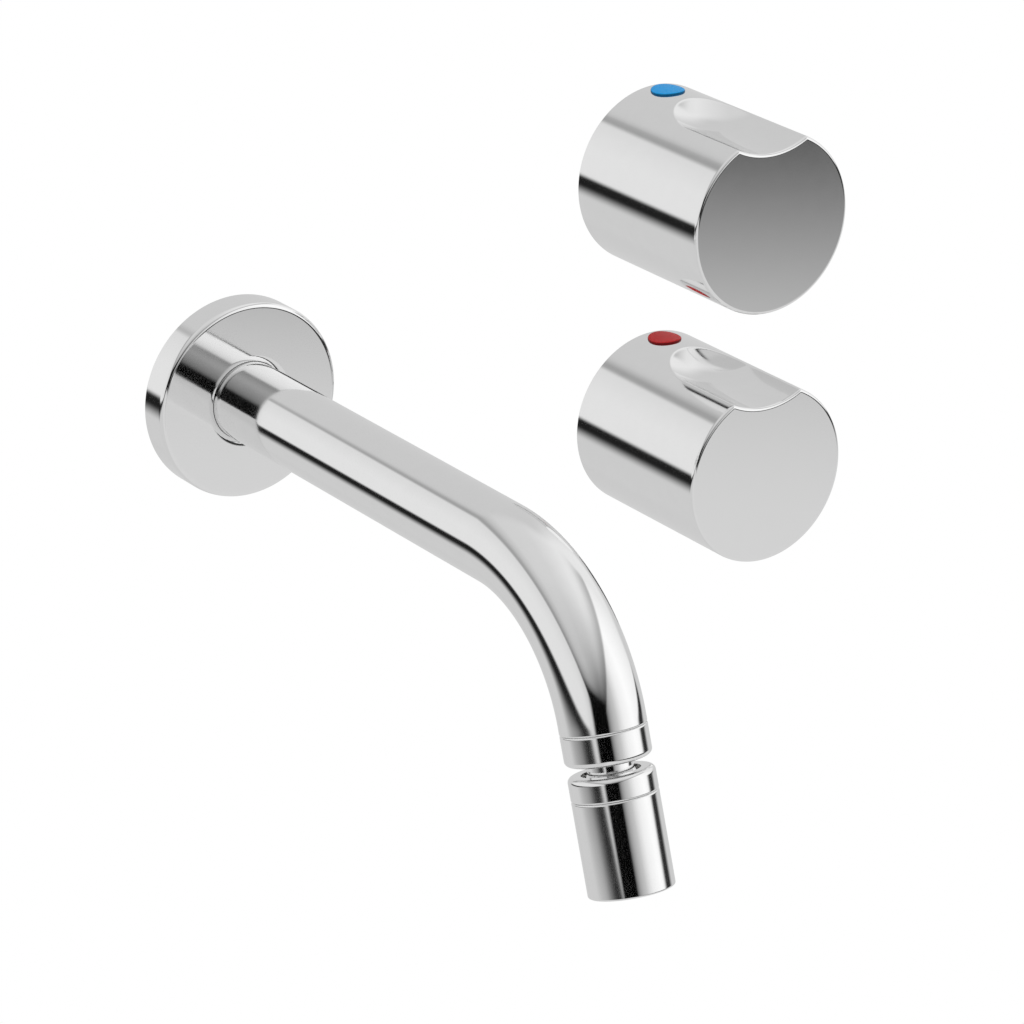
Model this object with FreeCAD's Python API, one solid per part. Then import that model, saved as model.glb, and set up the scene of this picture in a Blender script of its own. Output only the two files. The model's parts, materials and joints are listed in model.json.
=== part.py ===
import FreeCAD, Part
import math
import os
from FreeCAD import Rotation, Vector

# Wall-mounted bidet mixer: a bent spout with a ball-jointed aerator, and two quarter-turn handles beside it.
# The origin is where the spout's axis meets the finished wall. +Z is up, +Y goes into the wall,
# and the user stands at -Y. All sizes are in millimetres.
# A depth is a place along Y, positive behind the wall's face and negative in front of it.

# Clearances
running_gap = 0.05        # radial, between a turning piece and what guides it
fitting_gap = 0.05        # radial, between pieces that are pushed or screwed together
end_float = 0.1           # along an axis, between pieces that turn against each other
disc_film = 0.02          # between the two ceramic discs
wall_gap = 0.4            # between a knob and the wall
ball_gap = 0.05           # between the ball, its liner and its seat
overlap = 1.0             # how far two shapes reach into each other where they are joined

# Layout
handle_offset = 120.8     # spout axis to the handles' axes, along X
handle_spacing = 64.0     # between the two handles' axes, along Z

# Knob
knob_radius = 22.5
knob_projection = 48.6
knob_wall = 3.0
knob_front_wall = 4.0
knob_front_round = 0.6
scallop_radius = 21.4     # the finger scallop's section, and its round end
scallop_depth = 4.85
scallop_reach = 27.6      # wall to the centre of the scallop's round end
scallop_wall = 2.6
scallop_edge_round = 1.0
hub_wall = 2.2
hub_floor = 8.6           # inside of the front wall's back to the adapter
rib_count = 4
rib_angle = 45.0          # from +X to the first rib
rib_thickness = 2.0
rib_depth = 12.6

# Colour index on the knob
index_radius = 4.2
index_place = 6.0         # wall to the centre of the index
index_height = 0.5        # above the knob's crown
index_sink = 2.2          # pocket floor below the knob's crown
index_round = 0.3

# Spindle, adapter and the screw that holds the knob
spline_radius = 4.0
spline_depth = 0.4
spline_teeth = 20
stem_radius = 4.45
adapter_wall = 3.25
adapter_lead = 1.0        # adapter's open end, out of the hub
adapter_floor = 2.5       # solid end of the adapter
adapter_flat = 0.7        # depth of the flat that the screw presses on
screw_radius = 2.05
screw_length = 6.0
screw_setback = 3.0       # adapter's end to the screw's axis
screw_boss_wall = 2.1
screw_key_radius = 1.4
screw_key_depth = 3.0

# Cover sleeve round the headwork, with the bush that guides the knob's hub
sleeve_wall = 1.5
sleeve_end_gap = 4.8      # screw boss to the sleeve's end
bush_wall = 2.2
bush_length = 9.4
bush_recess = 0.3
sleeve_collar = 6.5

# Quarter-turn headwork
body_front = 24.0         # depth of the face that the headwork screws down on
bonnet_hex_length = 5.0
bonnet_neck_length = 11.0
bonnet_neck_radius = 8.0
bonnet_hex_flats = 22.0
bonnet_thread_radius = 10.4
bonnet_thread_length = 7.0
bonnet_thread_relief = 0.8
bonnet_skirt_wall = 1.55
bonnet_crown = 5.0        # body face to the bonnet's cavity
bonnet_end_gap = 0.8      # skirt's end to the seat
window_width = 10.0
window_margin = 0.8
ear_thickness = 3.2
ear_hub_radius = 6.0
ear_angle = 56.0
stop_place = -45.0        # middle of the first stop, the second is opposite
stop_angle = 30.0
stop_rise = 1.8
tongue_width = 3.0
tongue_length = 11.5
tongue_height = 1.9
disc_thickness = 3.2
disc_hub_radius = 3.6
lobe_angle = 100.0
port_angle = 80.0
port_inner_radius = 2.0
port_outer_radius = 6.2
seat_seal_thickness = 4.0
seat_seal_bore = 6.4
seal_groove_depth = 1.1
seal_groove_width = 2.4
seal_groove_setback = 6.0
clip_groove_depth = 0.7
clip_thickness = 1.0
clip_radius = 6.0
clip_opening = 60.0

# Valve body behind the wall
boss_wall = 4.05
chamber_radius = 11.8
seat_bore = 5.5
inlet_drop = 9.4          # seat to the inlets' axis, in depth
inlet_thread_radius = 9.3155
inlet_thread_length = 15.0
inlet_wall = 4.2
inlet_throat = 7.5
inlet_rise = 32.0         # handle axis to the inlet's mouth
duct_radius = 5.5
duct_wall = 3.5
boss_back = 18.0          # seat to the back of the boss

# Transfer pipe and its compression joints
pipe_radius = 7.5
pipe_wall = 1.0
pipe_socket_depth = 7.0
port_thread_radius = 10.4
body_port_reach = 24.0    # handle axis to the body port's end
elbow_port_reach = 24.0   # spout axis to the elbow port's end
nut_flats = 24.0
nut_length = 14.0
nut_overlap = 8.0
nut_floor = 2.4
olive_length = 3.5
olive_wall = 1.4

# Spout elbow and nipple
elbow_front = 15.0
elbow_wall = 3.7
socket_thread_radius = 9.3155
socket_thread_length = 14.0
elbow_throat = 6.0
elbow_back = 12.0         # duct axis to the elbow's back
nipple_bore = 5.0
nipple_key_flats = 10.0
nipple_key_depth = 10.0
nipple_spigot = 17.5
nipple_seal_width = 2.0
nipple_seal_depth = 1.2
nipple_seal_setback = 7.5
washer_thickness = 1.5
washer_bore = 7.0
spout_screw_place = 12.0  # wall to the screw under the spout
spout_screw_radius = 1.5
spout_screw_length = 3.0

# Mounting bracket
bracket_gap = 0.5
bracket_thickness = 2.5
bracket_height = 44.0
bracket_overhang = 42.0   # spout axis and handle axis to the bracket's ends
bracket_corner = 6.0
wall_hole_radius = 3.25
wall_hole_margin_x = 6.0
wall_hole_margin_z = 8.0
foot_margin = 6.0         # screw's axis to the foot's end
foot_width = 16.0
foot_thickness = 5.0
web_width = 12.0
foot_screw_spacing = 32.0
foot_screw_radius = 2.45
foot_screw_clearance = 0.3
foot_screw_head_radius = 4.5
foot_screw_head = 3.0
foot_screw_key_radius = 2.3
foot_screw_key_depth = 1.8

# Wall flange
flange_radius = 23.75
flange_thickness = 7.6
flange_edge_round = 0.8
flange_mouth_round = 1.5
flange_bore_gap = 0.16
flange_rim = 3.1
flange_front_wall = 3.0
flange_collar = 3.4
grip_groove_depth = 1.75
grip_groove_width = 2.0
grip_groove_setback = 1.4
gasket_thickness = 1.5
gasket_width = 5.0

# Spout
spout_radius = 9.5
spout_wall = 1.3
spout_inset = 1.5         # tube's end behind the wall's face
spout_straight = 112.5    # wall to the start of the bend
bend_radius = 40.2
bend_angle = 72.0
spout_tail = 1.45         # straight end after the bend
joint_bevel = 0.25

# Ball stem, measured from the end of the bend along the spout's end axis
collar_length = 6.85
collar_round = 1.2
neck_radius = 5.05
neck_gap = 2.4            # collar to the swivel's top face
stem_bore = 3.2
stem_spigot_radius = 5.4
stem_spigot_length = 5.9
bush_ring_length = 4.2
bush_ring_gap = 0.3
stem_seal_bore = 6.2
stem_seal_wall = 1.5
stem_seal_thickness = 1.0
ball_radius = 7.0
ball_drop = 4.8           # swivel's top face to the ball's centre
ball_cut = 5.2            # ball's centre to its flat end

# Liner and seat of the ball
liner_thickness = 0.65
liner_start = 62.0        # angles from the stem, round the ball's centre
liner_end = 98.0
liner_bands = 2
seal_start = 112.0
seal_end = 140.0
seat_flare = 20.0         # widening of the seat below the ball's widest place

# Swivel cap and aerator
swivel_radius = 9.5
cap_length = 5.25
cap_wall = 0.7
cap_roof = 1.2
cap_opening = 6.9
cap_round = 1.2
seat_height = 2.3
aerator_length = 21.0
aerator_wall = 1.0
aerator_end_bevel = 0.4
spigot_wall = 0.5
seal_pocket = 5.6
ledge_thickness = 1.5
ledge_bore = 6.0
aerator_washer_thickness = 1.2
aerator_washer_bore = 6.5
jet_plate_thickness = 1.2
jet_count = 12
jet_ring_radius = 5.2
jet_length = 2.4
jet_width = 0.9
nozzle_recess = 0.6
nozzle_wall = 1.2
nozzle_grid = 3.0
cell_flats = 2.4
cell_pitch = 2.9
cell_rings = 2

# Places that follow from the sizes above
knob_front = -knob_projection
knob_back = -wall_gap
adapter_radius = spline_radius + 2 * fitting_gap + adapter_wall
hub_bore = adapter_radius + fitting_gap
hub_radius = hub_bore + hub_wall
bush_radius = hub_radius + running_gap + bush_wall
sleeve_bore = bush_radius + fitting_gap
sleeve_radius = sleeve_bore + sleeve_wall
knob_cavity_front = knob_front + knob_front_wall
adapter_front = knob_cavity_front + hub_floor
screw_depth = adapter_front + screw_setback
screw_boss_radius = screw_radius + fitting_gap + screw_boss_wall
sleeve_front = screw_depth + screw_boss_radius + sleeve_end_gap
bush_front = sleeve_front + bush_recess
hub_back = bush_front + bush_length
adapter_back = hub_back + adapter_lead
spindle_front = adapter_front + adapter_floor + end_float

hex_front = body_front - bonnet_hex_length
bonnet_front = hex_front - bonnet_neck_length
thread_end = body_front + bonnet_thread_length
cavity_front = body_front + bonnet_crown
ear_front = cavity_front + end_float
ear_back = ear_front + ear_thickness
moving_disc_front = ear_back + end_float
moving_disc_back = moving_disc_front + disc_thickness
fixed_disc_front = moving_disc_back + disc_film
fixed_disc_back = fixed_disc_front + disc_thickness
seat_depth = fixed_disc_back + seat_seal_thickness
bonnet_back = seat_depth - bonnet_end_gap
cavity_radius = bonnet_thread_radius - bonnet_thread_relief - bonnet_skirt_wall
disc_radius = cavity_radius - 2 * fitting_gap
bonnet_bore = stem_radius + running_gap
boss_radius = bonnet_thread_radius + fitting_gap + boss_wall
inlet_depth = seat_depth + inlet_drop
inlet_radius = inlet_thread_radius + inlet_wall
duct_depth = (thread_end + seat_depth) / 2

foot_length = foot_screw_spacing + 2 * foot_margin
foot_back = inlet_depth + inlet_radius + bracket_gap
foot_front = foot_back - foot_thickness
elbow_radius = socket_thread_radius + elbow_wall
elbow_end = duct_depth + elbow_back
socket_end = elbow_front + socket_thread_length
nipple_end = socket_end - washer_thickness

tube_bore = spout_radius - spout_wall
flange_bore = spout_radius + flange_bore_gap
bend_end = Vector(
    0,
    -spout_straight - bend_radius * math.sin(math.radians(bend_angle)),
    -bend_radius + bend_radius * math.cos(math.radians(bend_angle)),
)
spout_down = Vector(0, -math.cos(math.radians(bend_angle)), -math.sin(math.radians(bend_angle)))

collar_end = spout_tail + collar_length
swivel_top = collar_end + neck_gap
ball_centre = swivel_top + ball_drop
liner_inner = ball_radius + ball_gap
liner_outer = liner_inner + liner_thickness
seat_inner = liner_outer + ball_gap
cap_bore = swivel_radius - cap_wall
seat_radius = cap_bore - fitting_gap
cap_end = swivel_top + cap_length
seat_top = swivel_top + cap_roof
seat_bottom = seat_top + seat_height
aerator_end = cap_end + aerator_length
spigot_radius = cap_bore - fitting_gap
spigot_bore = spigot_radius - spigot_wall
ledge_top = cap_end + seal_pocket
ledge_bottom = ledge_top + ledge_thickness
aerator_bore = swivel_radius - aerator_wall
insert_radius = aerator_bore - fitting_gap
plate_top = ledge_bottom + aerator_washer_thickness
nozzle_top = plate_top + jet_plate_thickness
nozzle_end = aerator_end - nozzle_recess


def turned(corners, axis, seam):
    """Solid of revolution round an axis through the origin, from (along, radius) corners."""
    points = [axis * along + seam * radius for along, radius in corners]
    wire = Part.makePolygon(points + [points[0]])
    solid = Part.Face(wire).revolve(Vector(0, 0, 0), axis, 360)
    if solid.Volume < 0:
        solid.reverse()
    return solid


def turned_in_depth(corners):
    """Turned piece of a handle or a fitting, with its axis along Y."""
    return turned(corners, Vector(0, 1, 0), Vector(0, 0, -1))


def turned_on_end(corners):
    """Turned piece of the spout's end, with its axis along Z, before it is put in place."""
    return turned(corners, Vector(0, 0, 1), Vector(-1, 0, 0))


def ring(start, end, inner, outer):
    """Plain ring with its axis along Y."""
    return turned_in_depth([(start, inner), (start, outer), (end, outer), (end, inner)])


def end_ring(start, end, inner, outer):
    """Plain ring with its axis along Z."""
    return turned_on_end([(start, inner), (start, outer), (end, outer), (end, inner)])


def hexagon(flats, centre, axis, length):
    """Hexagonal prism that starts at a centre and runs along an axis."""
    corner = flats / math.sqrt(3)
    side = Vector(1, 0, 0)
    if abs(axis.x) > 0.5:
        side = Vector(0, 1, 0)
    up = axis.cross(side)
    points = []
    for i in range(6):
        angle = math.radians(60 * i)
        points.append(centre + side * (corner * math.cos(angle)) + up * (corner * math.sin(angle)))
    return Part.Face(Part.makePolygon(points + [points[0]])).extrude(axis * length)


def sector(inner, outer, middle, width, start, end):
    """Piece of a ring across Y. Angles turn from +X towards +Z, as seen from the front."""

    def at(radius, angle):
        turn = math.radians(angle)
        return Vector(radius * math.cos(turn), start, radius * math.sin(turn))

    low = middle - width / 2
    high = middle + width / 2
    edges = [
        Part.Arc(at(outer, low), at(outer, middle), at(outer, high)).toShape(),
        Part.LineSegment(at(outer, high), at(inner, high)).toShape(),
        Part.Arc(at(inner, high), at(inner, middle), at(inner, low)).toShape(),
        Part.LineSegment(at(inner, low), at(outer, low)).toShape(),
    ]
    return Part.Face(Part.Wire(edges)).extrude(Vector(0, end - start, 0))


def splined(tip, root, start, end):
    """Serrated rod along Y, with pointed teeth."""
    points = []
    for i in range(2 * spline_teeth):
        angle = math.pi * i / spline_teeth
        radius = tip if i % 2 == 0 else root
        points.append(Vector(radius * math.cos(angle), start, radius * math.sin(angle)))
    return Part.Face(Part.makePolygon(points + [points[0]])).extrude(Vector(0, end - start, 0))


def rounded(shape, size, wanted):
    """Shape with the edges that a test picks rounded to a size."""
    edges = [edge for edge in shape.Edges if wanted(edge)]
    return shape.makeFillet(size, edges)


def on_rim(edge, axis, along, radius):
    """True for a circular edge round an axis through the origin, at a place along it."""
    curve = edge.Curve
    if curve.TypeId != "Part::GeomCircle":
        return False
    same_place = abs(curve.Center.dot(axis) - along) < 0.001
    return same_place and abs(curve.Radius - radius) < 0.001


def scallop_tool(growth):
    """Cutter of the finger scallop: a rod along Y with a ball end, larger by a growth all round."""
    radius = scallop_radius + growth
    height = knob_radius - scallop_depth + scallop_radius
    far = -2 * knob_projection
    tip = Vector(0, -scallop_reach + radius, 0)
    middle = Vector(0, -scallop_reach + radius * math.sqrt(0.5), radius * math.sqrt(0.5))
    corner = Vector(0, -scallop_reach, radius)
    edges = [
        Part.Arc(tip, middle, corner).toShape(),
        Part.LineSegment(corner, Vector(0, far, radius)).toShape(),
        Part.LineSegment(Vector(0, far, radius), Vector(0, far, 0)).toShape(),
        Part.LineSegment(Vector(0, far, 0), tip).toShape(),
    ]
    tool = Part.Face(Part.Wire(edges)).revolve(Vector(0, 0, 0), Vector(0, 1, 0), 360)
    if tool.Volume < 0:
        tool.reverse()
    tool.translate(Vector(0, 0, height))
    return tool


def knob():
    """Cast knob: a scalloped shell with a hub, four ribs and a boss for its screw."""
    blank = turned_in_depth(
        [(knob_front, 0), (knob_front, knob_radius), (knob_back, knob_radius), (knob_back, 0)]
    )
    shell = blank.cut(scallop_tool(0))

    def on_scallop(edge):
        middle = edge.valueAt((edge.FirstParameter + edge.LastParameter) / 2)
        on_side = abs(math.hypot(middle.x, middle.z) - knob_radius) < 0.001
        return on_side and middle.z > 0 and knob_front + 0.01 < middle.y < knob_back - 0.01

    def on_front(edge):
        return all(abs(vertex.Y - knob_front) < 0.001 for vertex in edge.Vertexes)

    shell = rounded(shell, scallop_edge_round, on_scallop)
    shell = rounded(shell, knob_front_round, on_front)

    cavity = ring(knob_cavity_front, knob_back, 0, knob_radius - knob_wall)
    cavity = cavity.cut(scallop_tool(scallop_wall))
    shell = shell.cut(cavity)

    shell = shell.fuse(ring(knob_cavity_front, hub_back, 0, hub_radius))
    span = knob_radius - knob_wall / 2 - hub_radius + hub_wall / 2
    for i in range(rib_count):
        rib = Part.makeBox(span, rib_depth, rib_thickness)
        rib.translate(Vector(hub_radius - hub_wall / 2, knob_cavity_front, -rib_thickness / 2))
        rib.rotate(Vector(0, 0, 0), Vector(0, 1, 0), rib_angle + 360 * i / rib_count)
        rib = rib.cut(scallop_tool(scallop_wall / 2))
        shell = shell.fuse(rib)
    boss_length = knob_radius - knob_wall / 2 - hub_bore
    boss = Part.makeCylinder(
        screw_boss_radius, boss_length, Vector(0, screw_depth, -hub_bore), Vector(0, 0, -1)
    )
    shell = shell.fuse(boss)
    shell = shell.cut(ring(adapter_front, hub_back, 0, hub_bore))
    screw_hole = Part.makeCylinder(
        screw_radius + fitting_gap, knob_radius, Vector(0, screw_depth, 0), Vector(0, 0, -1)
    )
    pocket = Part.makeCylinder(
        index_radius + fitting_gap, knob_radius, Vector(0, -index_place, knob_radius - index_sink)
    )
    return shell.cut(screw_hole).cut(pocket).removeSplitter()


def knob_index():
    """Round colour index, whose top follows the knob's curve a little above its crown."""
    plug = Part.makeCylinder(
        index_radius, index_sink + 2 * index_height, Vector(0, -index_place, knob_radius - index_sink)
    )
    skin = Part.makeCylinder(
        knob_radius + index_height, 2 * index_place, Vector(0, 0, 0), Vector(0, -1, 0)
    )
    plug = plug.common(skin)
    return rounded(plug, index_round, lambda e: e.BoundBox.ZMin > knob_radius - index_sink / 2)


def knob_adapter():
    """Splined insert in the knob's hub, with a flat under it for the screw."""
    blank = ring(adapter_front, adapter_back, 0, adapter_radius)
    tip = spline_radius + 2 * fitting_gap
    bore = splined(tip, tip - spline_depth, adapter_front + adapter_floor, adapter_back)
    flat = Part.makeBox(
        2 * adapter_radius, adapter_back - adapter_front, adapter_radius,
        Vector(-adapter_radius, adapter_front, -2 * adapter_radius + adapter_flat),
    )
    return blank.cut(bore).cut(flat)


def knob_screw():
    """Grub screw in the knob's underside, pressed on the adapter's flat."""
    top = -adapter_radius + adapter_flat
    screw = Part.makeCylinder(
        screw_radius, screw_length, Vector(0, screw_depth, top), Vector(0, 0, -1)
    )
    key = hexagon(
        screw_key_radius * math.sqrt(3), Vector(0, screw_depth, top - screw_length),
        Vector(0, 0, 1), screw_key_depth,
    )
    return screw.cut(key)


def spindle():
    """Spindle with a splined end, grooves, two stop ears and a tongue that drives the moving disc."""
    groove_front = bonnet_front + seal_groove_setback
    groove_back = groove_front + seal_groove_width
    clip_back = bonnet_front - end_float
    clip_front = clip_back - clip_thickness - 2 * end_float
    spline_end = hub_back + 2 * adapter_lead
    stem = turned_in_depth(
        [
            (spline_end, 0),
            (spline_end, stem_radius),
            (clip_front, stem_radius),
            (clip_front, stem_radius - clip_groove_depth),
            (clip_back, stem_radius - clip_groove_depth),
            (clip_back, stem_radius),
            (groove_front, stem_radius),
            (groove_front, stem_radius - seal_groove_depth),
            (groove_back, stem_radius - seal_groove_depth),
            (groove_back, stem_radius),
            (ear_front, stem_radius),
            (ear_front, ear_hub_radius),
            (ear_back, ear_hub_radius),
            (ear_back, 0),
        ]
    )
    shape = stem.fuse(splined(spline_radius, spline_radius - spline_depth, spindle_front, spline_end))
    for middle in (0, 180):
        ear = sector(
            ear_hub_radius - overlap, disc_radius - fitting_gap, middle, ear_angle, ear_front, ear_back
        )
        shape = shape.fuse(ear)
    tongue = Part.makeBox(
        tongue_length, tongue_height, tongue_width, Vector(-tongue_length / 2, ear_back, -tongue_width / 2)
    )
    return shape.fuse(tongue).removeSplitter()


def spindle_seal():
    """Sealing ring in the spindle's groove."""
    groove_front = bonnet_front + seal_groove_setback + end_float
    groove_back = groove_front + seal_groove_width - 2 * end_float
    inner = stem_radius - seal_groove_depth + fitting_gap
    return ring(groove_front, groove_back, inner, bonnet_bore - running_gap / 2)


def spindle_clip():
    """Open spring clip in front of the bonnet, which keeps the spindle from sliding in."""
    back = bonnet_front - 2 * end_float
    inner = stem_radius - clip_groove_depth + fitting_gap
    return sector(inner, clip_radius, 90, 360 - clip_opening, back - clip_thickness, back)


def moving_disc():
    """Ceramic disc with two lobes that shut the ports, and a slot for the spindle's tongue."""
    shape = ring(moving_disc_front, moving_disc_back, 0, disc_hub_radius)
    for middle in (0, 180):
        lobe = sector(
            disc_hub_radius - overlap, disc_radius, middle, lobe_angle, moving_disc_front, moving_disc_back
        )
        shape = shape.fuse(lobe)
    slot_width = tongue_width + 2 * fitting_gap
    slot = Part.makeBox(
        2 * cavity_radius, ear_back + tongue_height + end_float - moving_disc_front, slot_width,
        Vector(-cavity_radius, moving_disc_front, -slot_width / 2),
    )
    return shape.cut(slot).removeSplitter()


def fixed_disc():
    """Ceramic disc with two ports."""
    shape = ring(fixed_disc_front, fixed_disc_back, 0, disc_radius)
    for middle in (0, 180):
        port = sector(
            port_inner_radius, port_outer_radius, middle, port_angle, fixed_disc_front, fixed_disc_back
        )
        shape = shape.cut(port)
    return shape


def seat_seal():
    """Rubber ring between the fixed disc and the valve body's seat."""
    return ring(fixed_disc_back, seat_depth, seat_seal_bore, disc_radius)


def bonnet():
    """Headwork housing: neck, hexagon, thread, and a skirt with two water windows and two stops."""
    shape = turned_in_depth(
        [
            (bonnet_front, bonnet_bore),
            (bonnet_front, bonnet_neck_radius),
            (body_front, bonnet_neck_radius),
            (body_front, bonnet_thread_radius),
            (thread_end, bonnet_thread_radius),
            (thread_end, cavity_radius + bonnet_skirt_wall),
            (bonnet_back, cavity_radius + bonnet_skirt_wall),
            (bonnet_back, cavity_radius),
            (cavity_front, cavity_radius),
            (cavity_front, bonnet_bore),
        ]
    )
    head = hexagon(bonnet_hex_flats, Vector(0, hex_front, 0), Vector(0, 1, 0), bonnet_hex_length)
    shape = shape.fuse(head.cut(ring(hex_front, body_front, 0, bonnet_bore)))
    window = Part.makeBox(
        window_width, moving_disc_back - thread_end - window_margin, 4 * cavity_radius,
        Vector(-window_width / 2, thread_end + window_margin, -2 * cavity_radius),
    )
    shape = shape.cut(window)
    for middle in (stop_place, stop_place + 180):
        stop = sector(
            cavity_radius - stop_rise, cavity_radius + bonnet_skirt_wall / 2,
            middle, stop_angle, cavity_front - overlap, thread_end + window_margin,
        )
        shape = shape.fuse(stop)
    return shape.removeSplitter()


def cover_sleeve():
    """Sleeve screwed on the bonnet's neck, which carries the guide bush at its front."""
    collar_back = hex_front - end_float
    collar_front = collar_back - sleeve_collar
    neck = bonnet_neck_radius + fitting_gap
    return turned_in_depth(
        [
            (sleeve_front, sleeve_bore),
            (sleeve_front, sleeve_radius),
            (collar_back, sleeve_radius),
            (collar_back, neck),
            (collar_front, neck),
            (collar_front, sleeve_bore),
        ]
    )


def guide_bush():
    """Plastic bush in the cover sleeve's front, in which the knob's hub turns."""
    return ring(bush_front, hub_back, hub_radius + running_gap, bush_radius)


def foot():
    """Foot plate with two screw holes, and the web that joins it to the water way in front."""
    plate = Part.makeBox(
        foot_length, foot_thickness, foot_width, Vector(-foot_length / 2, foot_front, -foot_width / 2)
    )
    web = Part.makeBox(
        web_width, foot_front - duct_depth + overlap, foot_width,
        Vector(-web_width / 2, duct_depth, -foot_width / 2),
    )
    shape = plate.fuse(web)
    for side in (-1, 1):
        hole = Part.makeCylinder(
            foot_screw_radius + foot_screw_clearance, foot_thickness,
            Vector(side * foot_screw_spacing / 2, foot_front, 0), Vector(0, 1, 0),
        )
        shape = shape.cut(hole)
    return shape


def valve_body():
    """Cast body behind the wall: two headwork bosses, two inlets, the mixing duct and its side port."""
    axis = Vector(0, 1, 0)
    duct_outer = duct_radius + duct_wall
    shape = Part.makeCylinder(
        duct_outer, handle_spacing, Vector(0, duct_depth, -handle_spacing / 2), Vector(0, 0, 1)
    )
    port = Part.makeCylinder(port_thread_radius, body_port_reach, Vector(0, duct_depth, 0), Vector(-1, 0, 0))
    shape = shape.fuse([port, foot()])
    cuts = []
    for side in (-1, 1):
        up = Vector(0, 0, side)
        place = up * (handle_spacing / 2)
        boss = Part.makeCylinder(
            boss_radius, seat_depth + boss_back - body_front, place + axis * body_front, axis
        )
        inlet = Part.makeCylinder(inlet_radius, inlet_rise, place + axis * inlet_depth, up)
        shape = shape.fuse([boss, inlet])
        headwork = turned_in_depth(
            [
                (body_front, 0),
                (body_front, bonnet_thread_radius + fitting_gap),
                (thread_end, bonnet_thread_radius + fitting_gap),
                (thread_end, chamber_radius),
                (seat_depth, chamber_radius),
                (seat_depth, seat_bore),
                (inlet_depth, seat_bore),
                (inlet_depth, 0),
            ]
        )
        headwork.translate(place)
        mouth = place + up * inlet_rise + axis * inlet_depth
        thread = Part.makeCylinder(inlet_thread_radius, inlet_thread_length, mouth, up * -1)
        throat = Part.makeCylinder(inlet_throat, inlet_rise, mouth, up * -1)
        cuts += [headwork, thread, throat]
    duct_start = Vector(0, duct_depth, -handle_spacing / 2)
    cuts.append(Part.makeCylinder(duct_radius, handle_spacing, duct_start, Vector(0, 0, 1)))
    cuts.append(Part.makeCylinder(duct_radius, body_port_reach, Vector(0, duct_depth, 0), Vector(-1, 0, 0)))
    socket_start = Vector(-body_port_reach, duct_depth, 0)
    cuts.append(
        Part.makeCylinder(pipe_radius + fitting_gap, pipe_socket_depth, socket_start, Vector(1, 0, 0))
    )
    shape = shape.cut(cuts).removeSplitter()
    shape.translate(Vector(handle_offset, 0, 0))
    return shape


def spout_elbow():
    """Elbow behind the wall, which turns the mixed water into the spout's nipple."""
    axis = Vector(0, 1, 0)
    shape = Part.makeCylinder(elbow_radius, elbow_end - elbow_front, axis * elbow_front, axis)
    port = Part.makeCylinder(port_thread_radius, elbow_port_reach, axis * duct_depth, Vector(1, 0, 0))
    shape = shape.fuse([port, foot()])
    thread = Part.makeCylinder(socket_thread_radius, socket_thread_length, axis * elbow_front, axis)
    throat_length = duct_depth + elbow_throat - elbow_front
    throat = Part.makeCylinder(elbow_throat, throat_length, axis * elbow_front, axis)
    side = Part.makeCylinder(duct_radius, elbow_port_reach, axis * duct_depth, Vector(1, 0, 0))
    socket = Part.makeCylinder(
        pipe_radius + fitting_gap, pipe_socket_depth,
        Vector(elbow_port_reach, duct_depth, 0), Vector(-1, 0, 0),
    )
    return shape.cut([thread, throat, side, socket]).removeSplitter()


def across(corners):
    """Turned piece of the transfer pipe, with its axis along X at the duct's depth."""
    shape = turned(corners, Vector(1, 0, 0), Vector(0, 0, -1))
    shape.translate(Vector(0, duct_depth, 0))
    return shape


def joint_ends():
    """Each compression joint: the port's end along X, and the way the port points."""
    return [(elbow_port_reach, 1), (handle_offset - body_port_reach, -1)]


def transfer_pipe():
    """Copper pipe from the valve body's port to the spout elbow's."""
    start = elbow_port_reach - pipe_socket_depth + end_float
    end = handle_offset - body_port_reach + pipe_socket_depth - end_float
    bore = pipe_radius - pipe_wall
    return across([(start, bore), (start, pipe_radius), (end, pipe_radius), (end, bore)])


def pipe_olives():
    """Brass rings squeezed on the pipe at the mouth of each port."""
    solids = []
    for end, way in joint_ends():
        near = end + way * end_float
        far = near + way * olive_length
        inner = pipe_radius + fitting_gap / 2
        outer = inner + olive_wall
        solids.append(across([(near, inner), (near, outer), (far, outer), (far, inner)]))
    return Part.makeCompound(solids)


def pipe_nuts():
    """Hexagonal nuts that draw the olives onto the ports."""
    solids = []
    for end, way in joint_ends():
        start = Vector(end - way * nut_overlap, duct_depth, 0)
        blank = hexagon(nut_flats, start, Vector(way, 0, 0), nut_length)
        hollow = Part.makeCylinder(
            port_thread_radius + fitting_gap, nut_length - nut_floor, start, Vector(way, 0, 0)
        )
        way_through = Part.makeCylinder(pipe_radius + 2 * fitting_gap, nut_length, start, Vector(way, 0, 0))
        solids.append(blank.cut([hollow, way_through]))
    return Part.makeCompound(solids)


def mounting_bracket():
    """Steel plate that carries the body and the elbow, with four holes for the wall's screws."""
    left = -bracket_overhang
    right = handle_offset + bracket_overhang
    plate = Part.makeBox(
        right - left, bracket_thickness, bracket_height, Vector(left, foot_back, -bracket_height / 2)
    )
    corners = [edge for edge in plate.Edges if abs(edge.tangentAt(edge.FirstParameter).y) > 0.9]
    plate = plate.makeFillet(bracket_corner, corners)
    holes = []
    for x in (left + wall_hole_margin_x, right - wall_hole_margin_x):
        for side in (-1, 1):
            place = Vector(x, foot_back, side * (bracket_height / 2 - wall_hole_margin_z))
            holes.append(Part.makeCylinder(wall_hole_radius, bracket_thickness, place, Vector(0, 1, 0)))
    for x, z in foot_screw_places():
        place = Vector(x, foot_back, z)
        hole_radius = foot_screw_radius + fitting_gap
        holes.append(Part.makeCylinder(hole_radius, bracket_thickness, place, Vector(0, 1, 0)))
    return plate.cut(holes)


def foot_screw_places():
    """Axes of the four screws that hold the elbow's and the body's feet."""
    return [
        (x + side * foot_screw_spacing / 2, 0) for x in (0, handle_offset) for side in (-1, 1)
    ]


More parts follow.
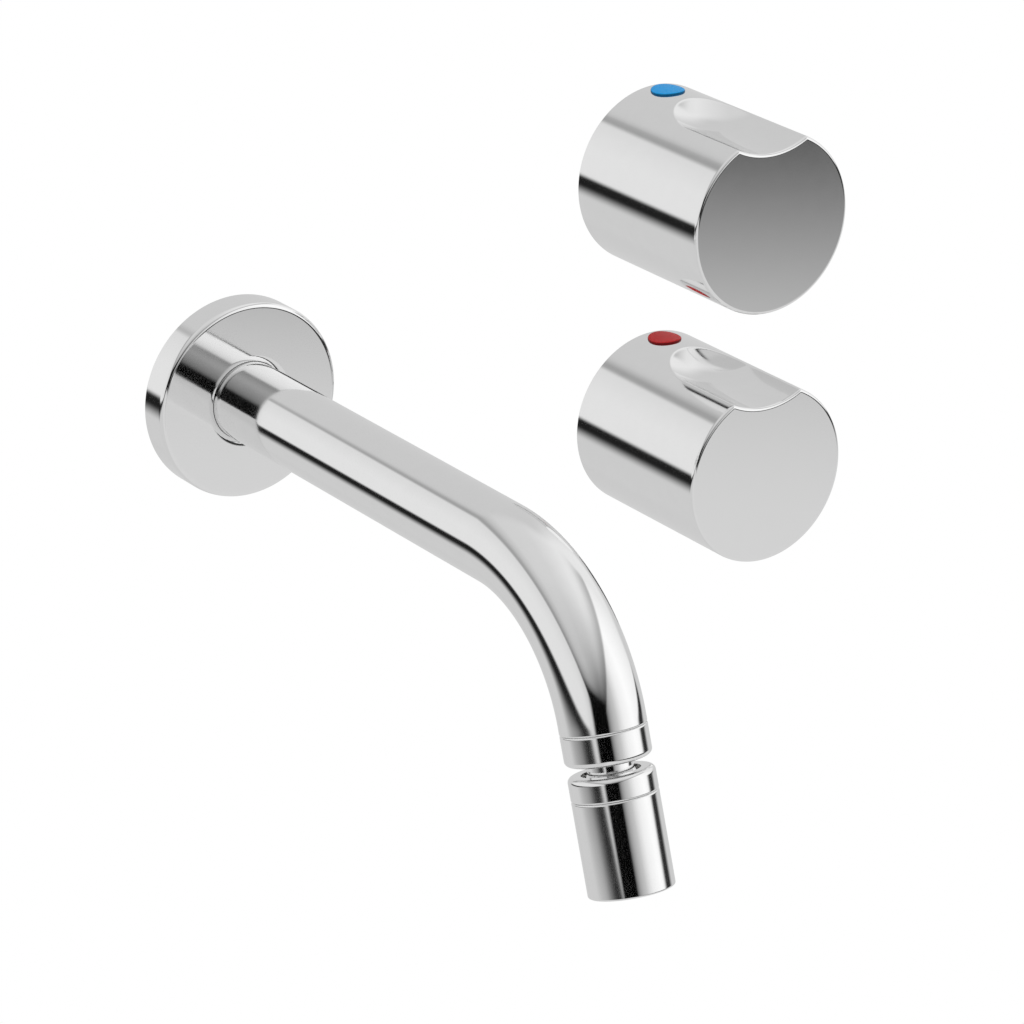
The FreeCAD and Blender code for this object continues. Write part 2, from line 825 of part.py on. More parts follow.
def bracket_screws():
    """Button-head screws through the feet into the bracket."""
    solids = []
    for x, z in foot_screw_places():
        length = foot_thickness + bracket_thickness
        head_place = Vector(x, foot_front - foot_screw_head, z)
        head = Part.makeCylinder(foot_screw_head_radius, foot_screw_head, head_place, Vector(0, 1, 0))
        shank = Part.makeCylinder(foot_screw_radius, length, Vector(x, foot_front, z), Vector(0, 1, 0))
        key = hexagon(
            foot_screw_key_radius * math.sqrt(3), head_place, Vector(0, 1, 0), foot_screw_key_depth
        )
        solids.append(head.fuse(shank).cut(key).removeSplitter())
    return Part.makeCompound(solids)


def spout_nipple():
    """Threaded nipple in the elbow, with a spigot that the spout slides on and a hexagonal key way."""
    thread = socket_thread_radius - fitting_gap
    spigot = tube_bore - fitting_gap
    spigot_front = spout_inset - nipple_spigot
    groove_back = -nipple_seal_setback + nipple_seal_width
    shape = turned_in_depth(
        [
            (spigot_front, nipple_bore),
            (spigot_front, spigot),
            (-nipple_seal_setback, spigot),
            (-nipple_seal_setback, spigot - nipple_seal_depth),
            (groove_back, spigot - nipple_seal_depth),
            (groove_back, spigot),
            (spout_inset, spigot),
            (spout_inset, thread),
            (nipple_end, thread),
            (nipple_end, nipple_bore),
        ]
    )
    key = hexagon(nipple_key_flats, Vector(0, spigot_front, 0), Vector(0, 1, 0), nipple_key_depth)
    screw_hole = Part.makeCylinder(
        spout_screw_radius + fitting_gap, tube_bore, Vector(0, -spout_screw_place, 0), Vector(0, 0, -1)
    )
    return shape.cut([key, screw_hole])


def nipple_seal():
    """Sealing ring in the nipple's groove."""
    spigot = tube_bore - fitting_gap
    front = -nipple_seal_setback + end_float
    back = -nipple_seal_setback + nipple_seal_width - end_float
    return ring(front, back, spigot - nipple_seal_depth + fitting_gap, tube_bore - fitting_gap / 2)


def nipple_washer():
    """Fibre washer at the bottom of the elbow's thread."""
    return ring(nipple_end, socket_end, washer_bore, socket_thread_radius - 2 * fitting_gap)


def spout_screw():
    """Small grub screw under the spout, which holds the tube on its nipple."""
    place = Vector(0, -spout_screw_place, -spout_radius)
    return Part.makeCylinder(spout_screw_radius, spout_screw_length, place, Vector(0, 0, 1))


def spout_flange():
    """Wall flange: a round cover with a collar round the tube and a groove for the grip ring."""
    axis = Vector(0, 1, 0)
    groove_back = -grip_groove_setback
    groove_front = groove_back - grip_groove_width
    back_face = -flange_thickness + flange_front_wall
    rim_bore = flange_radius - flange_rim
    groove = flange_bore + grip_groove_depth
    shape = turned_in_depth(
        [
            (-flange_thickness, flange_bore),
            (-flange_thickness, flange_radius),
            (0, flange_radius),
            (0, rim_bore),
            (back_face, rim_bore),
            (back_face, groove + flange_collar),
            (0, groove + flange_collar),
            (0, flange_bore),
            (groove_back, flange_bore),
            (groove_back, groove),
            (groove_front, groove),
            (groove_front, flange_bore),
        ]
    )
    shape = rounded(shape, flange_edge_round, lambda e: on_rim(e, axis, -flange_thickness, flange_radius))
    return rounded(shape, flange_mouth_round, lambda e: on_rim(e, axis, -flange_thickness, flange_bore))


def flange_grip_ring():
    """Rubber ring that holds the flange on the tube."""
    back = -grip_groove_setback - end_float
    front = back - grip_groove_width + 2 * end_float
    return ring(front, back, spout_radius + disc_film, flange_bore + grip_groove_depth - fitting_gap)


def flange_gasket():
    """Soft ring behind the flange's rim, against the wall."""
    outer = flange_radius - flange_rim - 2 * fitting_gap
    return ring(-gasket_thickness, 0, outer - gasket_width, outer)


def bent_rod(radius, inset, tail):
    """Round rod along the spout's line: straight, bend, and straight end."""
    start = Vector(0, inset, 0)
    straight = Part.makeCylinder(radius, inset + spout_straight, start, Vector(0, -1, 0))
    bend_start = Vector(0, -spout_straight, 0)
    disc = Part.Face(Part.Wire(Part.makeCircle(radius, bend_start, Vector(0, -1, 0))))
    centre = Vector(0, -spout_straight, -bend_radius)
    bend = disc.revolve(centre, Vector(1, 0, 0), bend_angle)
    end = Part.makeCylinder(radius, tail, bend_end, spout_down)
    return straight.fuse([bend, end]).removeSplitter()


def spout_tube():
    """Bent spout tube, bevelled where it meets the ball stem's collar."""
    outer = bent_rod(spout_radius, spout_inset, spout_tail)
    end_centre = bend_end + spout_down * spout_tail

    def at_end(edge):
        if edge.Curve.TypeId != "Part::GeomCircle":
            return False
        return edge.Curve.Center.distanceToPoint(end_centre) < 0.01

    outer = outer.makeChamfer(joint_bevel, [edge for edge in outer.Edges if at_end(edge)])
    tube = outer.cut(bent_rod(tube_bore, spout_inset + overlap, spout_tail + overlap))
    screw_hole = Part.makeCylinder(
        spout_screw_radius + fitting_gap, 2 * spout_radius, Vector(0, -spout_screw_place, 0), Vector(0, 0, -1)
    )
    return tube.cut(screw_hole)


def on_spout_end(shape):
    """Piece made along Z from the end of the bend, put in place on the spout's end axis."""
    place = FreeCAD.Placement(bend_end, Rotation(Vector(0, 0, 1), spout_down))
    shape.Placement = place.multiply(shape.Placement)
    return shape


def spout_end_bush():
    """Threaded ring brazed inside the tube's end."""
    start = spout_tail - bush_ring_gap - bush_ring_length
    outer = tube_bore - bush_ring_gap
    return end_ring(start, spout_tail - bush_ring_gap, stem_spigot_radius + fitting_gap, outer)


def stem_seal():
    """Sealing ring between the collar and the threaded ring."""
    start = spout_tail - bush_ring_gap
    return end_ring(start, start + stem_seal_thickness, stem_seal_bore, stem_seal_bore + stem_seal_wall)


def ball_stem():
    """Collar, neck and ball in one piece, bored through, with a threaded spigot into the tube's end."""
    seal_floor = spout_tail - bush_ring_gap + stem_seal_thickness
    seal_outer = stem_seal_bore + stem_seal_wall + fitting_gap
    seal_inner = stem_seal_bore - fitting_gap
    body = turned_on_end(
        [
            (spout_tail - stem_spigot_length, stem_bore),
            (spout_tail - stem_spigot_length, stem_spigot_radius),
            (spout_tail, stem_spigot_radius),
            (spout_tail, seal_inner),
            (seal_floor, seal_inner),
            (seal_floor, seal_outer),
            (spout_tail, seal_outer),
            (spout_tail, spout_radius - joint_bevel),
            (spout_tail + joint_bevel, spout_radius),
            (collar_end, spout_radius),
            (collar_end, neck_radius),
            (ball_centre, neck_radius),
            (ball_centre, stem_bore),
        ]
    )
    axis = Vector(0, 0, 1)
    body = rounded(body, collar_round, lambda e: on_rim(e, axis, collar_end, spout_radius))
    ball = Part.makeSphere(ball_radius, Vector(0, 0, ball_centre))
    below = Part.makeCylinder(2 * ball_radius, ball_radius, Vector(0, 0, ball_centre + ball_cut))
    above = Part.makeCylinder(2 * ball_radius, ball_radius, Vector(0, 0, collar_end - ball_radius))
    bore = Part.makeCylinder(stem_bore, 2 * ball_radius + collar_end, Vector(0, 0, 0))
    return body.fuse(ball.cut([below, above])).cut(bore).removeSplitter()


def polar(radius, angle):
    """Corner round the ball's centre, at a radius and an angle from the stem."""
    turn = math.radians(angle)
    return (ball_centre - radius * math.cos(turn), radius * math.sin(turn))


def ball_liner():
    """Slippery ring that hugs the ball, with two flats inside and out in its section."""
    width = (liner_end - liner_start) / liner_bands
    flat = math.cos(math.radians(width / 2))
    inner = [polar(liner_inner / flat, liner_start + width * i) for i in range(liner_bands + 1)]
    outer = [polar(liner_outer, liner_start + width * i) for i in range(liner_bands + 1)]
    return turned_on_end(inner + outer[::-1])


def ball_seat():
    """Seat ring in the cap's roof, with a hollow that clears the liner's sphere."""
    equator_corner = (seat_bottom, seat_inner / math.cos(math.radians(seat_flare)))
    top_radius = math.sqrt(max(seat_inner ** 2 - (ball_centre - seat_top) ** 2, 0)) + 4 * ball_gap
    return turned_on_end(
        [
            (seat_top, top_radius),
            (seat_top, seat_radius),
            (seat_bottom, seat_radius),
            equator_corner,
        ]
    )


def ball_seal():
    """Rubber ring under the ball, which seals it to the aerator's ledge."""
    flat = math.cos(math.radians((seal_end - seal_start) / 2))
    upper = polar(liner_inner / flat, seal_start)
    lower = polar(liner_inner / flat, seal_end)
    outer = spigot_bore - fitting_gap
    return turned_on_end([upper, (upper[0], outer), (ledge_top, outer), (ledge_top, lower[1]), lower])


def swivel_cap():
    """Cap that holds the ball's seat, bevelled where it meets the aerator's sleeve."""
    shape = turned_on_end(
        [
            (swivel_top, cap_opening),
            (swivel_top, swivel_radius),
            (cap_end - joint_bevel, swivel_radius),
            (cap_end, swivel_radius - joint_bevel),
            (cap_end, cap_bore),
            (seat_top, cap_bore),
            (seat_top, cap_opening),
        ]
    )
    return rounded(shape, cap_round, lambda e: on_rim(e, Vector(0, 0, 1), swivel_top, swivel_radius))


def aerator_sleeve():
    """Sleeve under the cap: a spigot in the cap, a ledge for the seal, and the aerator's chamber."""
    return turned_on_end(
        [
            (seat_bottom + end_float, spigot_bore),
            (seat_bottom + end_float, spigot_radius),
            (cap_end, spigot_radius),
            (cap_end, swivel_radius - joint_bevel),
            (cap_end + joint_bevel, swivel_radius),
            (aerator_end - aerator_end_bevel, swivel_radius),
            (aerator_end, swivel_radius - aerator_end_bevel),
            (aerator_end, aerator_bore),
            (ledge_bottom, aerator_bore),
            (ledge_bottom, ledge_bore),
            (ledge_top, ledge_bore),
            (ledge_top, spigot_bore),
        ]
    )


def aerator_washer():
    """Flat rubber washer above the aerator's insert."""
    return end_ring(ledge_bottom, plate_top, aerator_washer_bore, insert_radius)


def jet_plate():
    """Plate whose slots break the water into jets."""
    shape = end_ring(plate_top, nozzle_top, 0, insert_radius)
    slots = []
    for i in range(jet_count):
        slot = Part.makeBox(
            jet_length, jet_width, jet_plate_thickness,
            Vector(jet_ring_radius - jet_length / 2, -jet_width / 2, plate_top),
        )
        slot.rotate(Vector(0, 0, 0), Vector(0, 0, 1), 360 * i / jet_count)
        slots.append(slot)
    return shape.cut(slots)


def aerator_nozzle():
    """Plastic insert with a honeycomb at its mouth."""
    shape = end_ring(nozzle_top, nozzle_end, 0, insert_radius)
    shape = shape.cut(end_ring(nozzle_top, nozzle_end - nozzle_grid, 0, insert_radius - nozzle_wall))
    cells = []
    for q in range(-cell_rings, cell_rings + 1):
        for r in range(-cell_rings, cell_rings + 1):
            if abs(q + r) > cell_rings:
                continue
            place = Vector(
                cell_pitch * math.sqrt(3) / 2 * q, cell_pitch * (r + q / 2), nozzle_end - nozzle_grid
            )
            cells.append(hexagon(cell_flats, place, Vector(0, 0, 1), nozzle_grid))
    return shape.cut(cells)


def handle_pieces():
    """Pieces of one handle and its headwork, on an axis through the origin."""
    return {
        "knob": knob(),
        "index": knob_index(),
        "adapter": knob_adapter(),
        "set_screw": knob_screw(),
        "spindle": spindle(),
        "spindle_seal": spindle_seal(),
        "spindle_clip": spindle_clip(),
        "moving_disc": moving_disc(),
        "fixed_disc": fixed_disc(),
        "seat_seal": seat_seal(),
        "bonnet": bonnet(),
        "cover_sleeve": cover_sleeve(),
        "guide_bush": guide_bush(),
    }


def all_pieces():
    """Every piece in its place, by name."""
    pieces = {
        "valve_body": valve_body(),
        "spout_elbow": spout_elbow(),
        "transfer_pipe": transfer_pipe(),
        "pipe_olives": pipe_olives(),
        "pipe_nuts": pipe_nuts(),
        "mounting_bracket": mounting_bracket(),
        "bracket_screws": bracket_screws(),
        "spout_nipple": spout_nipple(),
        "nipple_seal": nipple_seal(),
        "nipple_washer": nipple_washer(),
        "spout_screw": spout_screw(),
        "spout_flange": spout_flange(),
        "flange_grip_ring": flange_grip_ring(),
        "flange_gasket": flange_gasket(),
        "spout_tube": spout_tube(),
        "spout_end_bush": on_spout_end(spout_end_bush()),
        "stem_seal": on_spout_end(stem_seal()),
        "ball_stem": on_spout_end(ball_stem()),
        "ball_liner": on_spout_end(ball_liner()),
        "ball_seat": on_spout_end(ball_seat()),
        "ball_seal": on_spout_end(ball_seal()),
        "swivel_cap": on_spout_end(swivel_cap()),
        "aerator_sleeve": on_spout_end(aerator_sleeve()),
        "aerator_washer": on_spout_end(aerator_washer()),
        "jet_plate": on_spout_end(jet_plate()),
        "aerator_nozzle": on_spout_end(aerator_nozzle()),
    }
    for handle, side in (("cold", 1), ("hot", -1)):
        place = Vector(handle_offset, 0, side * handle_spacing / 2)
        for name, shape in handle_pieces().items():
            shape.translate(place)
            pieces[handle + "_" + name] = shape
    return pieces


def main():
    """Write one STEP file for each piece."""
    os.makedirs("parts", exist_ok=True)
    for name, shape in all_pieces().items():
        if not shape.isValid():
            print(name, "is not a valid shape")
        shape.exportStep(os.path.join("parts", name + ".step"))
        print(name, len(shape.Solids), round(shape.Volume, 1))


main()
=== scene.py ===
import json
import math

import bmesh
import bpy
import numpy as np
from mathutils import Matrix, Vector


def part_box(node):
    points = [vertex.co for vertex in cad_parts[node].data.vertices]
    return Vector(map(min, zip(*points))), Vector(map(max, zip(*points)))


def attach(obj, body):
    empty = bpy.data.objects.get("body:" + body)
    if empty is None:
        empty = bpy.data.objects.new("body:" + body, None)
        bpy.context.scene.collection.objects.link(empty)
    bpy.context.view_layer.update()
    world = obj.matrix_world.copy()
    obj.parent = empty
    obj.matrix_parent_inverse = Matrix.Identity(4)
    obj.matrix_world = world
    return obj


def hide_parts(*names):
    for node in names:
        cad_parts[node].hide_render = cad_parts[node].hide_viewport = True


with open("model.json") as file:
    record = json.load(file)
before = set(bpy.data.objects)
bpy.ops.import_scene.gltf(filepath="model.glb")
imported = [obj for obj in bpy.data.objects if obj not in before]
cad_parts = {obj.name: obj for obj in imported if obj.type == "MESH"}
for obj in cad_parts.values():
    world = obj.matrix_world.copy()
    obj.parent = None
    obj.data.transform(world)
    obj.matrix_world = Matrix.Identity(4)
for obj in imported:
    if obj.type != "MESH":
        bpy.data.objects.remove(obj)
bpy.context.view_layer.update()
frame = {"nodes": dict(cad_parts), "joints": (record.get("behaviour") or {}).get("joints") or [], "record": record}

# Sizes are in metres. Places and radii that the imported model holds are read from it.
MM = 0.001

# Camera, at the photograph's place and angle
CAMERA_PLACE = (-0.516027, -0.877517, 0.38226)
CAMERA_AZIMUTH = -34.147     # degrees from +Y, positive towards -X
CAMERA_ELEVATION = 22.114    # degrees that it looks down
CAMERA_LENS = 162.56         # mm
CAMERA_SENSOR = 36           # mm across
CAMERA_NEAR = 0.01
CAMERA_FAR = 20

# Fineness of the surfaces
ROUND_STEPS = 192            # faces round a turned piece
FILLET_STEPS = 8             # faces across a rounded edge
POLISH_STEPS = 4             # faces across a polished edge of a knob
MOUTH_STEPS = 11
BALL_STEPS = 23
BEND_STEPS = 96
BORE_THINNING = 4            # rows of the bend outside to one of the bore inside
INDEX_RINGS = 14
SCALLOP_COLUMNS = 230        # of a knob, across its scallop
PLAIN_COLUMNS = 130          # round the rest of it
FRONT_ROWS = (0, 0.3, 0.6, 0.9)    # on its front, as shares of the way from axis to edge
STRAIGHT_ROWS = 8            # along the scallop's straight part
STRAIGHT_START = 1.0 * MM    # front's rounded edge to the first of them
STRAIGHT_STOP = 0.5 * MM     # last of them to the round end
BOWL_ROWS = 68               # along the round end
PLAIN_STOP = 6.0 * MM        # last row but one of the wall to its back edge
HOLLOW_ROWS = 20
HALVINGS = 40                # of the range in which a knob's wall is looked for
SHARP_ANGLE = math.radians(32)
NEARLY_STRAIGHT = math.pi - 0.01
SUPPORT = 0.03 * MM          # a ring this near a rounded edge keeps the flat beside it flat
SHORT_SIDE = 4 * SUPPORT     # a side up to this long gets no such rings
POLISHED_EDGE = 0.12 * MM    # what polishing leaves on an edge that the drawing has sharp

# Knob, by the same sizes as its casting
KNOB_FRONT_ROUND = 0.8 * MM
KNOB_WALL = 3.0 * MM
KNOB_FRONT_WALL = 4.0 * MM
SCALLOP_RADIUS = 21.4 * MM
SCALLOP_DEPTH = 4.85 * MM
SCALLOP_REACH = 27.6 * MM    # wall to the centre of the scallop's round end
SCALLOP_WALL = 2.6 * MM
SCALLOP_EDGE = 0.35 * MM
SCALLOP_INNER_EDGE = 0.2 * MM
SCALLOP_SPREAD = math.radians(40)   # to each side of the crown, past the scallop's edges
BOWL_LENGTH = 15.5 * MM      # of the round end, with some plain wall past it
HOLLOW_PLAIN = 4.0 * MM      # wall to where the scallop starts to show inside
HUB_RADIUS = 9.6 * MM
HUB_BORE = 7.4 * MM
HUB_BACK = 14.3 * MM         # wall to the hub's back
HUB_FLOOR = 36.0 * MM        # wall to the floor of the hub's bore

# Colour index
INDEX_RADIUS = 4.2 * MM
INDEX_PLACE = 6.0 * MM       # wall to its centre
INDEX_ROUND = 0.3 * MM
INDEX_SINK = 2.0 * MM

# Wall flange
FLANGE_EDGE = 1.2 * MM
FLANGE_MOUTH = 1.5 * MM      # how far the mouth spreads from the bore
MOUTH_DEPTH = 0.8 * MM       # of the whole quarter of its curve
MOUTH_TURN = math.radians(65)   # the share of it that the mouth has
FLANGE_BORE = 9.57 * MM
FLANGE_RIM = 3.1 * MM
FLANGE_COLLAR = 14.81 * MM
FLANGE_FRONT_WALL = 3.0 * MM

# Spout, with places along its end axis measured from the end of the bend
BEND_RADIUS = 40.2 * MM
TUBE_BORE = 8.2 * MM
TUBE_END = 1.45 * MM
JOINT_ROUND = 0.4 * MM
COLLAR_END = 8.3 * MM
COLLAR_ROUND = 1.2 * MM
NECK_RADIUS = 5.05 * MM
NECK_ROUND = 0.3 * MM
BALL_RADIUS = 7.0 * MM
BALL_PLACE = 15.5 * MM
BALL_CUT = 5.2 * MM
STEM_BORE = 3.2 * MM
STEM_SPIGOT = 5.4 * MM
STEM_START = -4.45 * MM
CAP_TOP = 10.7 * MM
CAP_OPENING = 6.45 * MM      # at the top, where the neck swings
CAP_FLARE = 0.43 * MM        # wider below the roof, where the liner swings
CAP_ROUND = 1.2 * MM
CAP_ROOF = 1.18 * MM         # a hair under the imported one, so that the seat below it shows no overlap
CAP_BORE = 8.8 * MM
CAP_END = 15.95 * MM
SLEEVE_TOP = 14.3 * MM
SLEEVE_SPIGOT = 8.75 * MM
SLEEVE_SPIGOT_BORE = 8.25 * MM
LEDGE_TOP = 21.55 * MM
LEDGE_BOTTOM = 23.05 * MM
LEDGE_BORE = 6.0 * MM
SLEEVE_BORE = 8.5 * MM
SLEEVE_END = 36.95 * MM
SLEEVE_END_ROUND = 0.4 * MM

# Finishes, with grains as so many to the metre
NOISE_LOW = 0.35             # most of a noise lies between these
NOISE_HIGH = 0.65
METAL_DETAIL = 4
PLAIN_DETAIL = 5
WAVE_DETAIL = 2
WAVE_BREADTH = 3             # of a metal's waves, against its grain
PIPE_DRAWING = (0.1, 1, 1)   # stretch of the grain along a drawn pipe
INDEX_CLOUD = 250
INDEX_DETAIL = 3
INDEX_GLOSS = (0.3, 0.4)
INDEX_SHEEN = 0.08
INDEX_PAINTED_SIDE_SHADE = 0.3        # painted shade: tone of its side, against its top
INDEX_TOP_TURN = 0.9         # upward part of the normal where the top's tone ends and the painted shade begins
INDEX_SIDE_TURN = 0.3        # and where the painted shade on the side is full

# Stage
STAGE_REACH = 3.0            # of the wall and the floor, to each side
WALL_TOP = 2.5
WALL_PAINT = (0.85, 0.9)     # tone and roughness
FLOOR_DROP = 0.5
FLOOR_PAINT = (0.9, 0.8)

# Studio that the polish mirrors. Tones are (place, tone) stops, and a seam is where one face goes over to
# the next. Places on a side wall are given at a distance of 1 from it, and places on the ceiling or floor at
# a distance of 1 from that.
LEFT_WALL_TONES = ((-3.4, 0), (-2.9, 0.3), (-2.4, 0.72), (-1.5, 0.84), (0, 0.88))
LEFT_WALL_FADE = ((0.3, 1), (0.7, 0.93))    # of the same wall, by height
RIGHT_WALL_TONES = ((-3.7, 0), (-3.1, 0.15), (-1.2, 0.63), (-0.6, 1.0), (-0.1, 1.15), (0.9, 0.93))
CEILING_TONES = (
    (-1.05, 0.4), (-0.85, 0.6), (-0.6, 0.73), (-0.1, 0.75), (0.45, 0.91), (0.6, 0.88), (0.93, 0.53)
)
CEILING_LEFT_FADE = ((-2.9, 0), (-2.2, 0.5), (-1.5, 0.77), (-0.2, 1))    # by depth
CEILING_RIGHT_FADE = ((-2.9, 0), (-1.5, 0.38), (-0.2, 0.93), (0.1, 1))
CEILING_MIDDLE = (-0.4, 0.5)    # from the left fade to the right one
LEFT_TOP_SEAM = (0.765, 0.885)
RIGHT_TOP_SEAM = (0.88, 1.01)
LEFT_BOTTOM_SEAM = (-0.125, -0.05)
RIGHT_BOTTOM_SEAM = (-0.11, -0.042)
FORWARD = (-0.6, 0.2)        # places along the left wall over which its seam and its floor band drop
SEAM_DROP = 0.032
LEFT_BAND_DROP = 0.075
LEFT_BAND = (-0.17, -0.38)   # dark floor beside the left wall, to pale floor
LEFT_BAND_TONES = (0.015, 0.69)
RIGHT_BAND_START = 2.3       # pale floor to dark floor, across
RIGHT_BAND_WIDTH = 1.5       # of that passage, straight to the right
RIGHT_BAND_GROWTH = 0.6      # of its width, towards the front
RIGHT_BAND_DEPTHS = (-1.5, 2.5)    # between which it grows
RIGHT_BAND_TONES = (0.76, 0.03)
FRONT_TONES = (0.67, 0.92)   # level one, and the lit one high on the right
FRONT_LIT_TURN = (0.2, 0.6)
FRONT_LIT_RISE = (-0.05, 0.2)
FRONT_ALONG = (0.75, 1.1)    # where the walls end
FRONT_DEEP = (0.55, 1.05)    # where the ceiling and the floor end
MATT_LEVEL = 1.05            # light on matt surfaces
LEAST = 0.001                # smallest divisor

joints = {joint["name"]: joint for joint in frame["joints"]}


def measured(node, axis):
    """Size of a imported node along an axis, to a hundredth of a millimetre."""
    low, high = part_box(node)
    return round(high[axis] - low[axis], 5)


KNOB_RADIUS = measured("cold_knob", 0) / 2
KNOB_FRONT = round(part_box("cold_knob")[0].y, 5)
KNOB_BACK = round(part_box("cold_knob")[1].y, 5)
FLANGE_RADIUS = measured("spout_flange", 0) / 2
FLANGE_THICKNESS = measured("spout_flange", 1)
TUBE_RADIUS = measured("spout_tube", 0) / 2
TUBE_START = round(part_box("spout_tube")[1].y, 5)
SWIVEL_RADIUS = measured("aerator_sleeve", 0) / 2

END_AXIS = Vector(joints["aerator_spin"]["axis"]).normalized()
BALL_CENTRE = Vector(joints["aerator_spin"]["pos_m"])
BEND_END = BALL_CENTRE - END_AXIS * BALL_PLACE
WALL_AXIS = Vector((0, 1, 0))
WALL_CENTRE = Vector((0, 0, 0))

# Directions of the camera, level with the floor
AHEAD = (math.sin(-math.radians(CAMERA_AZIMUTH)), math.cos(math.radians(CAMERA_AZIMUTH)), 0)
RIGHT = (AHEAD[1], -AHEAD[0], 0)
UP = (0, 0, 1)


# Meshes from grids of points
def surface(name, grid, whole_loop=False):
    """Closed mesh from a grid of points. Columns go round, rows run along the profile. The profile is
    a whole loop, or it starts and ends on the axis, where a row shrinks to one point. Where the volume
    inside, the sum of corner * (next corner x the one after), comes out below nought, faces are turned."""
    rows, columns = grid.shape[:2]
    points = grid.reshape(-1, 3)
    index = np.arange(rows * columns).reshape(rows, columns)
    if whole_loop:
        near, far = index, np.roll(index, -1, axis=0)
    else:
        near, far = index[1:-2], index[2:-1]
    quads = np.stack([near, np.roll(near, -1, axis=1), np.roll(far, -1, axis=1), far], axis=-1).reshape(-1, 4)
    corners = [points[quads[:, k]] for k in range(4)]
    volume = np.einsum("ij,ij->", corners[0], np.cross(corners[1], corners[2]))
    volume += np.einsum("ij,ij->", corners[0], np.cross(corners[2], corners[3]))
    faces = quads.tolist()
    if not whole_loop:
        for row, pole, way in ((index[1], index[0, 0], -1), (index[-2], index[-1, 0], 1)):
            start, stop = (row, np.roll(row, -1))[::way]
            fan = np.stack([start, stop, np.full(columns, pole)], axis=-1)
            volume += np.einsum("ij,ij->", points[fan[:, 0]], np.cross(points[fan[:, 1]], points[fan[:, 2]]))
            faces += fan.tolist()
    if volume < 0:
        faces = [face[::-1] for face in faces]
    mesh = bpy.data.meshes.new(name)
    mesh.from_pydata(points.tolist(), [], faces)
    mesh.validate()
    if not whole_loop:
        drop_loose_points(mesh)
    mesh.shade_smooth()
    mesh.set_sharp_from_angle(angle=SHARP_ANGLE)
    piece = bpy.data.objects.new(name, mesh)
    bpy.context.scene.collection.objects.link(piece)
    return piece


def drop_loose_points(mesh):
    """Points of a shrunk row that no face uses are taken out."""
    work = bmesh.new()
    work.from_mesh(mesh)
    bmesh.ops.delete(work, geom=[v for v in work.verts if not v.link_faces], context="VERTS")
    work.to_mesh(mesh)
    work.free()


def rounded_corner(at, back, ahead, rounding):
    """Circular arc that touches both sides of a corner, its centre on their bisector at rounding / sin(half
    the opening), or the corner itself where that is sharp or nearly straight."""
    opening = back.angle(ahead)
    if rounding == 0 or opening > NEARLY_STRAIGHT:
        return [at]
    reach = rounding / math.tan(opening / 2)
    centre = at + (back + ahead).normalized() * (rounding / math.sin(opening / 2))
    start = at + back * reach - centre
    turn = (math.pi - opening) * (1 if back.x * ahead.y - back.y * ahead.x < 0 else -1)
    arc = []
    for angle in np.linspace(0, turn, FILLET_STEPS + 1):
        c, s = math.cos(angle), math.sin(angle)
        arc.append(centre + Vector((c * start.x - s * start.y, s * start.x + c * start.y)))
    return arc


def profile(corners):
    """Closed outline through corners (along, radius, rounding). Each side that isn't short gets a point
    close to either end."""
    spots = [Vector((along, radius)) for along, radius, rounding in corners]
    arcs = []
    for i, at in enumerate(spots):
        back = (spots[i - 1] - at).normalized()
        ahead = (spots[(i + 1) % len(spots)] - at).normalized()
        arcs.append(rounded_corner(at, back, ahead, corners[i][2]))
    line = []
    for arc, following in zip(arcs, arcs[1:] + arcs[:1]):
        line += arc
        start, stop = arc[-1], following[0]
        run = (stop - start).length
        if run > SHORT_SIDE:
            line.append(start.lerp(stop, SUPPORT / run))
            line.append(start.lerp(stop, 1 - SUPPORT / run))
    return np.array([tuple(point) for point in line])


def turned(name, corners, centre, axis):
    """Surface of revolution: centre + along * axis + radius * (cos a * side + sin a * up), with the
    profile's (along, radius) down the rows and the angle a across the columns."""
    line = profile(corners)
    angle = np.linspace(0, 2 * math.pi, ROUND_STEPS, endpoint=False)
    side = axis.orthogonal().normalized()
    up = axis.cross(side)
    across = np.outer(np.cos(angle), side) + np.outer(np.sin(angle), up)
    grid = np.array(centre) + line[:, 0, None, None] * np.array(axis) + line[:, 1, None, None] * across
    return surface(name, grid, whole_loop=True)


# Knobs
def scalloped_radius(angle, depth, radius, growth, edge):
    """Distance from the knob's axis to its wall. The wall is the inner one of two surfaces, a cylinder
    and the outside of a capsule that lies along Y above it, joined by a rounding. It is found by halving,
    between the cylinder and twice the scallop's depth below it."""
    height = KNOB_RADIUS - SCALLOP_DEPTH + SCALLOP_RADIUS
    capsule = SCALLOP_RADIUS + growth
    behind = np.maximum(depth + SCALLOP_REACH, 0)
    low = np.full(np.broadcast(angle, depth).shape, radius - 2 * SCALLOP_DEPTH)
    high = np.full(low.shape, radius)
    for _ in range(HALVINGS):
        middle = (low + high) / 2
        reach = np.sqrt((middle * np.cos(angle)) ** 2 + (middle * np.sin(angle) - height) ** 2 + behind ** 2)
        out_of_cylinder = middle - radius + edge
        into_capsule = capsule - reach + edge
        nearest = np.minimum(np.maximum(out_of_cylinder, into_capsule), 0)
        corner = np.hypot(np.maximum(out_of_cylinder, 0), np.maximum(into_capsule, 0))
        outside = nearest + corner - edge > 0
        high = np.where(outside, middle, high)
        low = np.where(outside, low, middle)
    return high


def knob_columns():
    """Angles round a knob, closer together across its scallop, and the ray (cos a, sin a) of each."""
    start, stop = math.pi / 2 - SCALLOP_SPREAD, math.pi / 2 + SCALLOP_SPREAD
    scallop = np.linspace(start, stop, SCALLOP_COLUMNS, endpoint=False)
    rest = np.linspace(stop, start + 2 * math.pi, PLAIN_COLUMNS, endpoint=False)
    angle = np.concatenate([scallop, rest])
    return angle, np.stack([np.cos(angle), np.sin(angle)], axis=-1)


def ring(flat, depth):
    """Row of points (x, depth, z) from a flat outline of (x, z)."""
    return np.stack([flat[:, 0], np.broadcast_to(depth, len(flat)), flat[:, 1]], axis=-1)


